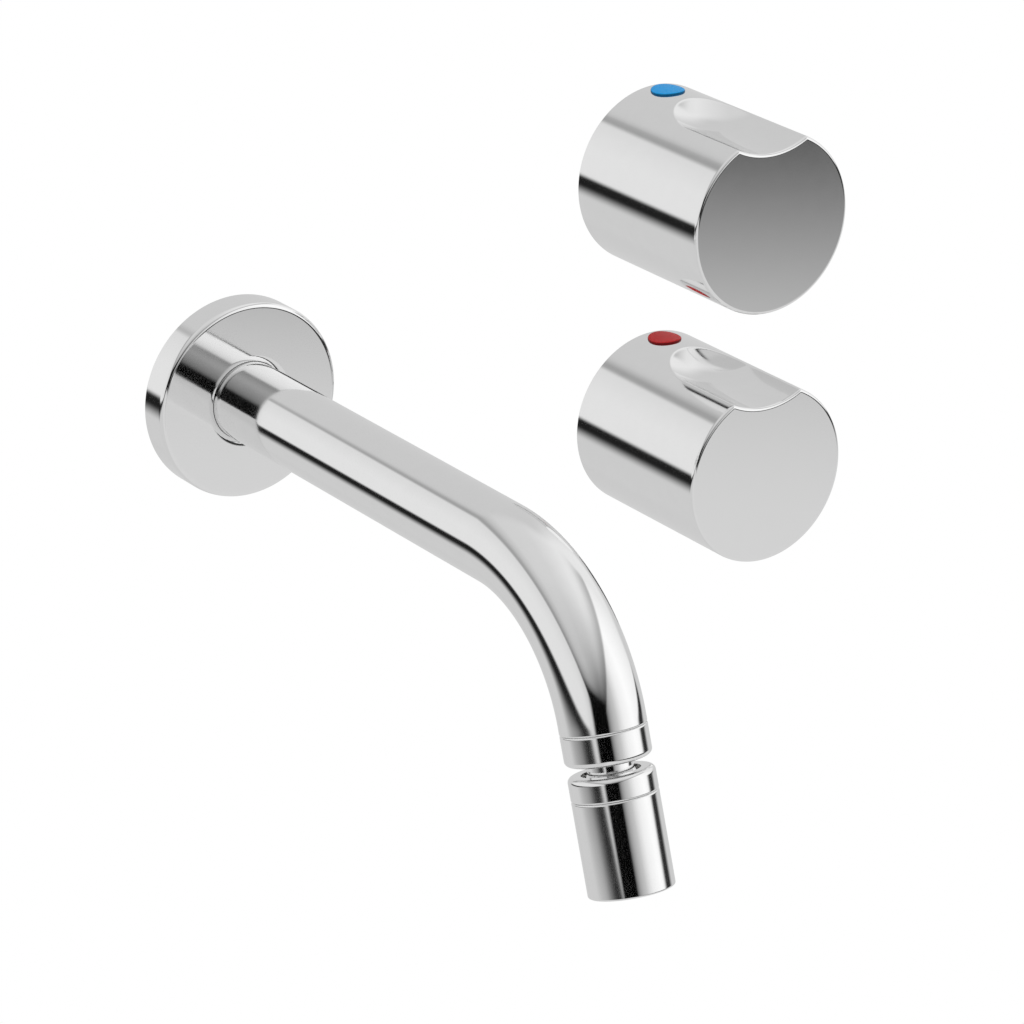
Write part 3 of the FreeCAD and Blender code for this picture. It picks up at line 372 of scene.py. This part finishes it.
def knob_front(angle, ray):
    """Flat front and its rounded edge. The edge is outline - outward * r (1 - cos t) at a depth of
    r sin t before its end, with r its rounding and outward square to the outline."""
    outline = scalloped_radius(angle, KNOB_FRONT, KNOB_RADIUS, 0, SCALLOP_EDGE)[:, None] * ray
    along = np.roll(outline, -1, axis=0) - np.roll(outline, 1, axis=0)
    outward = np.stack([along[:, 1], -along[:, 0]], axis=-1)
    outward /= np.linalg.norm(outward, axis=1)[:, None]
    inset = outline - outward * KNOB_FRONT_ROUND
    rows = [ring(inset * share, KNOB_FRONT) for share in (*FRONT_ROWS, 1 - SUPPORT / KNOB_RADIUS)]
    for turn in np.linspace(math.pi / 2, 0, FILLET_STEPS + 1):
        edge = outline - outward * KNOB_FRONT_ROUND * (1 - math.cos(turn))
        rows.append(ring(edge, KNOB_FRONT + KNOB_FRONT_ROUND - KNOB_FRONT_ROUND * math.sin(turn)))
    return rows


def knob_wall(angle, ray):
    """Scalloped wall, from the front edge to the polished edge at the back: radius(a, depth) * ray."""
    front = KNOB_FRONT + KNOB_FRONT_ROUND
    back = KNOB_BACK - POLISHED_EDGE
    straight = np.linspace(front + STRAIGHT_START, -SCALLOP_REACH - STRAIGHT_STOP, STRAIGHT_ROWS)
    bowl = np.linspace(-SCALLOP_REACH, -SCALLOP_REACH + BOWL_LENGTH, BOWL_ROWS)
    rows = []
    for depth in np.concatenate([[front + SUPPORT], straight, bowl, [back - PLAIN_STOP, back - SUPPORT]]):
        radius = scalloped_radius(angle, depth, KNOB_RADIUS, 0, SCALLOP_EDGE)
        rows.append(ring(radius[:, None] * ray, depth))
    for turn in np.linspace(0, math.pi / 2, POLISH_STEPS + 1):
        shrink = POLISHED_EDGE * (1 - math.cos(turn))
        rows.append(ring((KNOB_RADIUS - shrink) * ray, back + POLISHED_EDGE * math.sin(turn)))
    return rows


def knob_hollow(angle, ray):
    """Hollow with its wall along the scallop, the inside of the front, and the hub with its bore."""
    front = KNOB_FRONT + KNOB_FRONT_WALL
    scalloped = np.linspace(-HOLLOW_PLAIN, -SCALLOP_REACH, HOLLOW_ROWS)
    rows = []
    for depth in np.concatenate([[KNOB_BACK], scalloped, [front]]):
        radius = scalloped_radius(angle, depth, KNOB_RADIUS - KNOB_WALL, SCALLOP_WALL, SCALLOP_INNER_EDGE)
        rows.append(ring(radius[:, None] * ray, depth))
    hub = [
        (HUB_RADIUS, front),
        (HUB_RADIUS, -HUB_BACK),
        (HUB_BORE, -HUB_BACK),
        (HUB_BORE, -HUB_FLOOR),
        (0, -HUB_FLOOR),
    ]
    for radius, depth in hub:
        rows.append(ring(radius * ray, depth))
    return rows


def knob(name, handle):
    """One closed surface round a handle's axis, on a grid of angle and place along the profile: front,
    scalloped wall and hollow."""
    angle, ray = knob_columns()
    rows = knob_front(angle, ray) + knob_wall(angle, ray) + knob_hollow(angle, ray)
    return surface(name, np.stack(rows) + np.array(joints[handle]["pos_m"]))


def colour_index(name, handle, node):
    """Plug whose top follows the knob's curve: height sqrt(R^2 - x^2) over the point (x, y) of a disc, less
    the drop of a rounded edge, then a straight side down into the knob."""
    centre = np.array(joints[handle]["pos_m"]) + (0, -INDEX_PLACE, 0)
    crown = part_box(node)[1].z - centre[2]
    angle = np.linspace(0, 2 * math.pi, ROUND_STEPS, endpoint=False)
    flat = INDEX_RADIUS - INDEX_ROUND
    turn = np.linspace(0, math.pi / 2, FILLET_STEPS + 1)[1:]
    level = np.append(np.linspace(0, flat, INDEX_RINGS), flat + SUPPORT / 2)
    radius = np.concatenate([level, flat + INDEX_ROUND * np.sin(turn), [INDEX_RADIUS, INDEX_RADIUS, 0]])
    drop = np.concatenate([0 * level, INDEX_ROUND * (1 - np.cos(turn)), [INDEX_ROUND + SUPPORT, 0, 0]])
    x, y = radius[:, None] * np.cos(angle), radius[:, None] * np.sin(angle)
    height = np.sqrt(crown ** 2 - x ** 2) - drop[:, None]
    height[-2:] = crown - INDEX_SINK
    return surface(name, np.stack([x, y, height], axis=-1) + centre)


# Spout
def bent_tube(name):
    """Tube swept along a straight run, a circular bend and a short tail. A section at path place s is
    centre(s) + radius * (cos a * X + sin a * normal(s))."""
    turn = math.acos(-END_AXIS.y)
    straight_end = BEND_END.y + BEND_RADIUS * math.sin(turn)
    length = TUBE_START - straight_end
    bend_length = BEND_RADIUS * turn
    end = length + bend_length + TUBE_END
    bend_places = np.linspace(length, length + bend_length, BEND_STEPS + 1)
    rounding = np.linspace(0, math.pi / 2, FILLET_STEPS + 1)
    outer = np.concatenate([[0, SUPPORT], bend_places, [end - JOINT_ROUND - SUPPORT]])
    rim = end - JOINT_ROUND * (1 - np.sin(rounding))
    inner = np.concatenate([[0, SUPPORT], bend_places[::BORE_THINNING], [end]])[::-1]
    place = np.concatenate([outer, rim, inner])
    radius = np.concatenate([
        np.full(len(outer), TUBE_RADIUS),
        TUBE_RADIUS - JOINT_ROUND * (1 - np.cos(rounding)),
        np.full(len(inner), TUBE_BORE),
    ])
    swing = np.clip((place - length) / BEND_RADIUS, 0, turn)
    straight = TUBE_START - np.minimum(place, length)
    tail = np.maximum(place - length - bend_length, 0)
    y = straight - BEND_RADIUS * np.sin(swing) - tail * math.cos(turn)
    z = BEND_RADIUS * (np.cos(swing) - 1) - tail * math.sin(turn)
    centre = np.stack([np.zeros(len(place)), y, z], axis=-1)
    normal = np.stack([np.zeros(len(place)), -np.sin(swing), np.cos(swing)], axis=-1)
    angle = np.linspace(0, 2 * math.pi, ROUND_STEPS, endpoint=False)
    sideways = np.cos(angle)[None, :, None] * np.array([1.0, 0.0, 0.0])
    upward = np.sin(angle)[None, :, None] * normal[:, None]
    grid = centre[:, None] + radius[:, None, None] * (sideways + upward)
    return surface(name, grid, whole_loop=True)


def wall_flange(name):
    """Turned cover with a rounded edge and a hollow back. Its mouth curves in to the tube: at the angle a it
    lies MOUTH_DEPTH (1 - cos a) behind the front and spreads by FLANGE_MOUTH (1 - sin a / sin MOUTH_TURN)."""
    front = -FLANGE_THICKNESS
    floor = front + FLANGE_FRONT_WALL
    mouth = []
    for a in np.linspace(MOUTH_TURN, 0, MOUTH_STEPS + 1):
        spread = FLANGE_MOUTH * (1 - math.sin(a) / math.sin(MOUTH_TURN))
        mouth.append((front + MOUTH_DEPTH * (1 - math.cos(a)), FLANGE_BORE + spread, 0))
    return turned(name, mouth + [
        (front, FLANGE_RADIUS, FLANGE_EDGE),
        (0, FLANGE_RADIUS, POLISHED_EDGE),
        (0, FLANGE_RADIUS - FLANGE_RIM, 0),
        (floor, FLANGE_RADIUS - FLANGE_RIM, 0),
        (floor, FLANGE_COLLAR, 0),
        (0, FLANGE_COLLAR, 0),
        (0, FLANGE_BORE, 0),
    ], WALL_CENTRE, WALL_AXIS)


def stem_with_ball(name):
    """Turned collar, neck and ball, bored through. The ball is the arc (centre - R cos a, R sin a), from
    where it leaves the neck to its flat cut."""
    start = math.asin(NECK_RADIUS / BALL_RADIUS)
    stop = math.acos(-BALL_CUT / BALL_RADIUS)
    ball = []
    for a in np.linspace(start, stop, BALL_STEPS + 1):
        ball.append((BALL_PLACE - BALL_RADIUS * math.cos(a), BALL_RADIUS * math.sin(a), 0))
    return turned(name, [
        (STEM_START, STEM_BORE, 0),
        (STEM_START, STEM_SPIGOT, 0),
        (TUBE_END, STEM_SPIGOT, 0),
        (TUBE_END, TUBE_RADIUS, JOINT_ROUND),
        (COLLAR_END, TUBE_RADIUS, COLLAR_ROUND),
        (COLLAR_END, NECK_RADIUS, NECK_ROUND),
    ] + ball + [(BALL_PLACE + BALL_CUT, STEM_BORE, 0)], BEND_END, END_AXIS)


def swivel_cap(name):
    """Turned cap over the ball, with a rounded top edge, a softened edge at the joint and a flared
    opening."""
    return turned(name, [
        (CAP_TOP, CAP_OPENING, POLISHED_EDGE),
        (CAP_TOP, SWIVEL_RADIUS, CAP_ROUND),
        (CAP_END, SWIVEL_RADIUS, JOINT_ROUND),
        (CAP_END, CAP_BORE, 0),
        (CAP_TOP + CAP_ROOF, CAP_BORE, 0),
        (CAP_TOP + CAP_ROOF, CAP_OPENING + CAP_FLARE, 0),
    ], BEND_END, END_AXIS)


def aerator_sleeve(name):
    """Turned sleeve of the aerator, with its spigot, ledge and rounded mouth."""
    return turned(name, [
        (SLEEVE_TOP, SLEEVE_SPIGOT_BORE, 0),
        (SLEEVE_TOP, SLEEVE_SPIGOT, 0),
        (CAP_END, SLEEVE_SPIGOT, 0),
        (CAP_END, SWIVEL_RADIUS, JOINT_ROUND),
        (SLEEVE_END, SWIVEL_RADIUS, SLEEVE_END_ROUND),
        (SLEEVE_END, SLEEVE_BORE, POLISHED_EDGE),
        (LEDGE_BOTTOM, SLEEVE_BORE, 0),
        (LEDGE_BOTTOM, LEDGE_BORE, 0),
        (LEDGE_TOP, LEDGE_BORE, 0),
        (LEDGE_TOP, SLEEVE_SPIGOT_BORE, 0),
    ], BEND_END, END_AXIS)


# Materials
def new_material(name):
    """Material, its node tree and its shader."""
    material = bpy.data.materials.new(name)
    material.use_nodes = True
    tree = material.node_tree
    return material, tree, tree.nodes["Principled BSDF"]


def noise(tree, scale, detail, stretch=(1, 1, 1)):
    """Noise on object coordinates, so many to the metre, stretched along the axes."""
    place = tree.nodes.new("ShaderNodeTexCoord")
    mapping = tree.nodes.new("ShaderNodeMapping")
    mapping.inputs["Scale"].default_value = stretch
    texture = tree.nodes.new("ShaderNodeTexNoise")
    texture.inputs["Scale"].default_value = scale
    texture.inputs["Detail"].default_value = detail
    tree.links.new(place.outputs["Object"], mapping.inputs["Vector"])
    tree.links.new(mapping.outputs["Vector"], texture.inputs["Vector"])
    return texture.outputs["Fac"]


def between(tree, value, low, high):
    """Number from low to high as a noise rises."""
    node = tree.nodes.new("ShaderNodeMapRange")
    node.inputs["From Min"].default_value = NOISE_LOW
    node.inputs["From Max"].default_value = NOISE_HIGH
    node.inputs["To Min"].default_value = low
    node.inputs["To Max"].default_value = high
    tree.links.new(value, node.inputs["Value"])
    return node.outputs["Result"]


def two_tones(tree, value, dark, light):
    """Colour from dark to light as a noise rises."""
    ramp = tree.nodes.new("ShaderNodeValToRGB")
    ramp.color_ramp.elements[0].position = NOISE_LOW
    ramp.color_ramp.elements[0].color = (*dark, 1)
    ramp.color_ramp.elements[1].position = NOISE_HIGH
    ramp.color_ramp.elements[1].color = (*light, 1)
    tree.links.new(value, ramp.inputs["Fac"])
    return ramp.outputs["Color"]


def bump(tree, shader, value, height):
    """Relief of a noise, with its height in metres."""
    node = tree.nodes.new("ShaderNodeBump")
    node.inputs["Distance"].default_value = height
    tree.links.new(value, node.inputs["Height"])
    tree.links.new(node.outputs["Normal"], shader.inputs["Normal"])


def grained(name, dark, light, smooth, rough, scale, detail, stretch=(1, 1, 1)):
    """Material whose tone goes from dark to light and whose gloss goes from smooth to rough with a noise."""
    material, tree, shader = new_material(name)
    grain = noise(tree, scale, detail, stretch)
    tree.links.new(two_tones(tree, grain, dark, light), shader.inputs["Base Color"])
    tree.links.new(between(tree, grain, smooth, rough), shader.inputs["Roughness"])
    return material, tree, shader, grain


def metal(name, dark, light, smooth, rough, scale, height, stretch=(1, 1, 1)):
    """Metal with a fine grain, whose surface waves with a broad one."""
    material, tree, shader, grain = grained(name, dark, light, smooth, rough, scale, METAL_DETAIL, stretch)
    shader.inputs["Metallic"].default_value = 1
    if height:
        bump(tree, shader, noise(tree, scale / WAVE_BREADTH, WAVE_DETAIL), height)
    return material


def plain(name, dark, light, smooth, rough, scale, height):
    """Rubber, plastic or ceramic, whose surface rises with its grain."""
    material, tree, shader, grain = grained(name, dark, light, smooth, rough, scale, PLAIN_DETAIL)
    bump(tree, shader, grain, height)
    return material


def enamel(name, dark, light):
    """Coloured plastic of an index: a faint cloud in its tone and gloss, and painted shade, a darker colour where
    its surface turns from the top to the side."""
    material, tree, shader = new_material(name)
    cloud = noise(tree, INDEX_CLOUD, INDEX_DETAIL)
    place = tree.nodes.new("ShaderNodeTexCoord")
    parts = tree.nodes.new("ShaderNodeSeparateXYZ")
    side = tree.nodes.new("ShaderNodeMapRange")
    side.inputs["From Min"].default_value = INDEX_TOP_TURN
    side.inputs["From Max"].default_value = INDEX_SIDE_TURN
    # Painted shade: the side is darkened by how far its normal turns from upward, not by a colour of the plastic.
    painted_side_shade = tree.nodes.new("ShaderNodeMix")
    painted_side_shade.data_type = "RGBA"
    painted_side_shade.inputs["B"].default_value = (*(tone * INDEX_PAINTED_SIDE_SHADE for tone in dark), 1)
    tree.links.new(place.outputs["Normal"], parts.inputs["Vector"])
    tree.links.new(parts.outputs["Z"], side.inputs["Value"])
    tree.links.new(side.outputs["Result"], painted_side_shade.inputs["Factor"])
    tree.links.new(two_tones(tree, cloud, dark, light), painted_side_shade.inputs["A"])
    tree.links.new(painted_side_shade.outputs["Result"], shader.inputs["Base Color"])
    tree.links.new(between(tree, cloud, *INDEX_GLOSS), shader.inputs["Roughness"])
    shader.inputs["Specular IOR Level"].default_value = INDEX_SHEEN
    return material


polished_chrome = metal("polished_chrome", (0.85, 0.85, 0.85), (0.86, 0.86, 0.86), 0.075, 0.085, 300, 0)
cast_brass = metal("cast_brass", (0.45, 0.31, 0.12), (0.62, 0.45, 0.2), 0.3, 0.5, 2500, 0.04 * MM)
turned_brass = metal("turned_brass", (0.6, 0.43, 0.17), (0.72, 0.54, 0.25), 0.18, 0.3, 1500, 0.006 * MM)
copper_pipe = metal(
    "copper_pipe", (0.6, 0.27, 0.15), (0.76, 0.4, 0.26), 0.2, 0.38, 500, 0.004 * MM, PIPE_DRAWING
)
zinc_steel = metal("zinc_steel", (0.46, 0.47, 0.48), (0.6, 0.61, 0.62), 0.28, 0.45, 400, 0.005 * MM)
black_rubber = plain(
    "black_rubber", (0.012, 0.012, 0.012), (0.025, 0.025, 0.025), 0.55, 0.75, 2000, 0.02 * MM
)
red_fibre = plain("red_fibre", (0.3, 0.05, 0.03), (0.42, 0.09, 0.05), 0.7, 0.9, 3000, 0.03 * MM)
white_plastic = plain("white_plastic", (0.74, 0.74, 0.71), (0.8, 0.8, 0.77), 0.32, 0.42, 1200, 0.005 * MM)
white_ceramic = plain("white_ceramic", (0.78, 0.76, 0.71), (0.84, 0.83, 0.79), 0.15, 0.25, 1800, 0.002 * MM)
blue_index = enamel("blue_index", (0.012, 0.31, 0.72), (0.018, 0.34, 0.77))
red_index = enamel("red_index", (0.58, 0.028, 0.03), (0.66, 0.036, 0.038))

SLOT_MATERIALS = {
    "chrome": polished_chrome,
    "brass": turned_brass,
    "copper": copper_pipe,
    "steel": zinc_steel,
    "rubber": black_rubber,
    "fibre": red_fibre,
    "ceramic": white_ceramic,
    "white_plastic": white_plastic,
    "blue_index": blue_index,
    "red_index": red_index,
}
CAST_PIECES = ("valve_body", "spout_elbow")


def finish(piece, slot, body, node):
    """Material, slot and body of a new piece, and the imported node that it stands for."""
    piece.data.materials.append(SLOT_MATERIALS[slot])
    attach(piece, body)
    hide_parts(node)


def dress_packed_nodes():
    """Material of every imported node, by the record's slots. Water ways are cast, other brass is turned.
    What reaches into the wall stays out of the chrome's reflections, as the real wall keeps it."""
    for part in frame["record"]["subparts"]:
        piece = frame["nodes"][part["node"]]
        material = SLOT_MATERIALS[part["material_slot"]]
        if part["node"] in CAST_PIECES:
            material = cast_brass
        piece.data.materials.clear()
        piece.data.materials.append(material)
        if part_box(part["node"])[1].y > 0:
            piece.visible_glossy = False


# Stage
def open_from_behind(tree, front):
    """Sheet that shows its front only. From behind, or from below, it is clear."""
    clear = tree.nodes.new("ShaderNodeBsdfTransparent")
    side = tree.nodes.new("ShaderNodeNewGeometry")
    chosen = tree.nodes.new("ShaderNodeMixShader")
    tree.links.new(side.outputs["Backfacing"], chosen.inputs["Fac"])
    tree.links.new(front, chosen.inputs[1])
    tree.links.new(clear.outputs["BSDF"], chosen.inputs[2])
    tree.links.new(chosen.outputs["Shader"], tree.nodes["Material Output"].inputs["Surface"])


def matt_paint(name, tone, roughness):
    """Grey material of one tone."""
    material, tree, shader = new_material(name)
    shader.inputs["Base Color"].default_value = (tone, tone, tone, 1)
    shader.inputs["Roughness"].default_value = roughness
    return material, tree, shader


def white_wall():
    """Matt paint that the camera sees as pure white."""
    material, tree, shader = matt_paint("white_wall", *WALL_PAINT)
    glow = tree.nodes.new("ShaderNodeEmission")
    rays = tree.nodes.new("ShaderNodeLightPath")
    seen = tree.nodes.new("ShaderNodeMixShader")
    tree.links.new(rays.outputs["Is Camera Ray"], seen.inputs["Fac"])
    tree.links.new(shader.outputs["BSDF"], seen.inputs[1])
    tree.links.new(glow.outputs["Emission"], seen.inputs[2])
    open_from_behind(tree, seen.outputs["Shader"])
    return material


def pale_floor():
    """Matt paint, a little paler than the wall's."""
    material, tree, shader = matt_paint("pale_floor", *FLOOR_PAINT)
    open_from_behind(tree, shader.outputs["BSDF"])
    return material


def stage_sheet(name, corners, material):
    """Flat sheet through four corners, which the chrome doesn't mirror."""
    mesh = bpy.data.meshes.new(name)
    mesh.from_pydata(corners, [], [(0, 1, 2, 3)])
    mesh.materials.append(material)
    piece = bpy.data.objects.new(name, mesh)
    bpy.context.scene.collection.objects.link(piece)
    piece.visible_glossy = False


def stage():
    """Wall round the mixer, and a floor far below."""
    left = near = -STAGE_REACH
    right = far = STAGE_REACH
    low = -FLOOR_DROP
    wall = [(left, 0, low), (right, 0, low), (right, 0, WALL_TOP), (left, 0, WALL_TOP)]
    floor = [(left, near, low), (right, near, low), (right, far, low), (left, far, low)]
    stage_sheet("stage_wall", wall, white_wall())
    stage_sheet("stage_floor", floor, pale_floor())


# Studio
class Studio:
    """Numbers worked out in the world's node tree, from the direction that a ray leaves in."""

    def __init__(self, tree):
        self.tree = tree
        place = tree.nodes.new("ShaderNodeTexCoord")
        self.direction = place.outputs["Generated"]

    def join(self, value, socket):
        """Number or another node's output, put on a socket."""
        if isinstance(value, (int, float)):
            socket.default_value = value
        else:
            self.tree.links.new(value, socket)

    def work_out(self, operation, *values):
        """One step of arithmetic."""
        node = self.tree.nodes.new("ShaderNodeMath")
        node.operation = operation
        for socket, value in zip(node.inputs, values):
            self.join(value, socket)
        return node.outputs["Value"]

    def part_along(self, axis):
        """Component of the direction along an axis."""
        node = self.tree.nodes.new("ShaderNodeVectorMath")
        node.operation = "DOT_PRODUCT"
        node.inputs[1].default_value = axis
        self.tree.links.new(self.direction, node.inputs[0])
        return node.outputs["Value"]

    def size_of(self, value):
        """Absolute value, kept off nought so that it can divide."""
        return self.work_out("MAXIMUM", self.work_out("ABSOLUTE", value), LEAST)

    def rising(self, value, start, end, low=0.0, high=1.0):
        """Soft step from low to high while a value goes from start to end."""
        node = self.tree.nodes.new("ShaderNodeMapRange")
        node.interpolation_type = "SMOOTHSTEP"
        for name, number in (("From Min", start), ("From Max", end), ("To Min", low), ("To Max", high)):
            node.inputs[name].default_value = number
        self.tree.links.new(value, node.inputs["Value"])
        return node.outputs["Result"]

    def mixed(self, share, first, second):
        """First value, going over to the second as the share goes from 0 to 1."""
        node = self.tree.nodes.new("ShaderNodeMix")
        self.join(share, node.inputs["Factor"])
        self.join(first, node.inputs["A"])
        self.join(second, node.inputs["B"])
        return node.outputs["Result"]

    def tones(self, value, stops):
        """Straight runs through (place, tone) stops."""
        first, last = stops[0][0], stops[-1][0]
        scaled = self.tree.nodes.new("ShaderNodeMapRange")
        scaled.inputs["From Min"].default_value = first
        scaled.inputs["From Max"].default_value = last
        self.tree.links.new(value, scaled.inputs["Value"])
        ramp = self.tree.nodes.new("ShaderNodeValToRGB")
        elements = ramp.color_ramp.elements
        while len(elements) < len(stops):
            elements.new(1.0)
        for element, (place, tone) in zip(elements, stops):
            element.position = (place - first) / (last - first)
            element.color = (tone, tone, tone, 1)
        self.tree.links.new(scaled.outputs["Result"], ramp.inputs["Fac"])
        return ramp.outputs["Color"]


def wall_tone(studio, is_right, along, rise):
    """Bright side walls that fade towards the far end. The left one is a little darker high up."""
    fade = studio.tones(rise, LEFT_WALL_FADE)
    left = studio.work_out("MULTIPLY", studio.tones(along, LEFT_WALL_TONES), fade)
    return studio.mixed(is_right, left, studio.tones(along, RIGHT_WALL_TONES))


def ceiling_tone(studio, across, deep):
    """Ceiling that darkens towards both walls and fades towards the far end."""
    left_fade = studio.tones(deep, CEILING_LEFT_FADE)
    right_fade = studio.tones(deep, CEILING_RIGHT_FADE)
    fade = studio.mixed(studio.rising(across, *CEILING_MIDDLE), left_fade, right_fade)
    return studio.work_out("MULTIPLY", studio.tones(across, CEILING_TONES), fade)


def floor_tone(studio, is_right, forward, rise, across, deep):
    """Pale floor with a dark band along either wall. The right band starts more softly towards the front."""
    dropped = studio.work_out("MULTIPLY_ADD", forward, LEFT_BAND_DROP, rise)
    left = studio.rising(dropped, *LEFT_BAND, *LEFT_BAND_TONES)
    rear, fore = RIGHT_BAND_DEPTHS
    bounded = studio.work_out("MAXIMUM", studio.work_out("MINIMUM", deep, fore), rear)
    width = studio.work_out("MULTIPLY_ADD", bounded, RIGHT_BAND_GROWTH, RIGHT_BAND_WIDTH)
    band = studio.work_out("DIVIDE", studio.work_out("SUBTRACT", across, RIGHT_BAND_START), width)
    return studio.mixed(is_right, left, studio.rising(band, 0, 1, *RIGHT_BAND_TONES))


def front_tone(studio, ahead, right, up):
    """Open front, brighter high on the right."""
    turn = studio.work_out("DIVIDE", right, studio.work_out("MAXIMUM", ahead, LEAST))
    high = studio.rising(up, *FRONT_LIT_RISE)
    lit = studio.work_out("MULTIPLY", studio.rising(turn, *FRONT_LIT_TURN), high)
    return studio.mixed(lit, *FRONT_TONES)


def studio_tone(studio):
    """Tone of a long studio by direction: two bright side walls, a ceiling, a floor, a dark far end behind
    the camera and an open front. A direction meets a side wall at up / |right| and ahead / |right|, and the
    ceiling or floor at right / |up| and ahead / |up|."""
    ahead = studio.part_along(AHEAD)
    right = studio.part_along(RIGHT)
    up = studio.part_along(UP)
    side = studio.size_of(right)
    over = studio.size_of(up)
    rise = studio.work_out("DIVIDE", up, side)
    along = studio.work_out("DIVIDE", ahead, side)
    across = studio.work_out("DIVIDE", right, over)
    deep = studio.work_out("DIVIDE", ahead, over)
    is_right = studio.work_out("GREATER_THAN", right, 0)
    forward = studio.rising(along, *FORWARD)

    left_top = studio.rising(rise, *LEFT_TOP_SEAM)
    top = studio.mixed(is_right, left_top, studio.rising(rise, *RIGHT_TOP_SEAM))
    left_bottom = studio.rising(studio.work_out("MULTIPLY_ADD", forward, SEAM_DROP, rise), *LEFT_BOTTOM_SEAM)
    bottom = studio.mixed(is_right, left_bottom, studio.rising(rise, *RIGHT_BOTTOM_SEAM))
    above = studio.mixed(top, wall_tone(studio, is_right, along, rise), ceiling_tone(studio, across, deep))
    room = studio.mixed(bottom, floor_tone(studio, is_right, forward, rise, across, deep), above)

    past_ceiling = studio.rising(deep, *FRONT_DEEP)
    opening = studio.work_out("MULTIPLY", studio.rising(along, *FRONT_ALONG), past_ceiling)
    return studio.mixed(opening, room, front_tone(studio, ahead, right, up))


def studio_light():
    """White world for the camera, a level one for matt surfaces, and the studio that the polish mirrors."""
    world = bpy.data.worlds.new("studio")
    bpy.context.scene.world = world
    world.use_nodes = True
    tree = world.node_tree
    background = tree.nodes["Background"]
    rays = tree.nodes.new("ShaderNodeLightPath")
    studio = Studio(tree)
    tone = studio.mixed(rays.outputs["Is Glossy Ray"], MATT_LEVEL, studio_tone(studio))
    tree.links.new(studio.mixed(rays.outputs["Is Camera Ray"], tone, 1.0), background.inputs["Color"])
    background.inputs["Strength"].default_value = 1.0


def camera():
    """Camera at the photograph's viewpoint."""
    data = bpy.data.cameras.new("camera")
    data.lens = CAMERA_LENS
    data.sensor_width = CAMERA_SENSOR
    data.clip_start = CAMERA_NEAR
    data.clip_end = CAMERA_FAR
    view = bpy.data.objects.new("camera", data)
    view.location = CAMERA_PLACE
    view.rotation_euler = (math.radians(90 - CAMERA_ELEVATION), 0, math.radians(CAMERA_AZIMUTH))
    bpy.context.scene.collection.objects.link(view)
    bpy.context.scene.camera = view


def main():
    """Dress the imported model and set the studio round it."""
    dress_packed_nodes()
    finish(knob("cold_knob_casting", "cold_handle_turn"), "chrome", "cold_handle", "cold_knob")
    finish(knob("hot_knob_casting", "hot_handle_turn"), "chrome", "hot_handle", "hot_knob")
    blue = colour_index("cold_index_plug", "cold_handle_turn", "cold_index")
    finish(blue, "blue_index", "cold_handle", "cold_index")
    red = colour_index("hot_index_plug", "hot_handle_turn", "hot_index")
    finish(red, "red_index", "hot_handle", "hot_index")
    finish(bent_tube("spout_bent_tube"), "chrome", "mixer_body", "spout_tube")
    finish(wall_flange("wall_flange_cover"), "chrome", "mixer_body", "spout_flange")
    finish(stem_with_ball("collar_neck_and_ball"), "chrome", "mixer_body", "ball_stem")
    finish(swivel_cap("swivel_cap_turned"), "chrome", "aerator", "swivel_cap")
    finish(aerator_sleeve("aerator_sleeve_turned"), "chrome", "aerator", "aerator_sleeve")
    stage()
    studio_light()
    camera()
    bpy.context.scene.view_settings.view_transform = "Standard"


main()
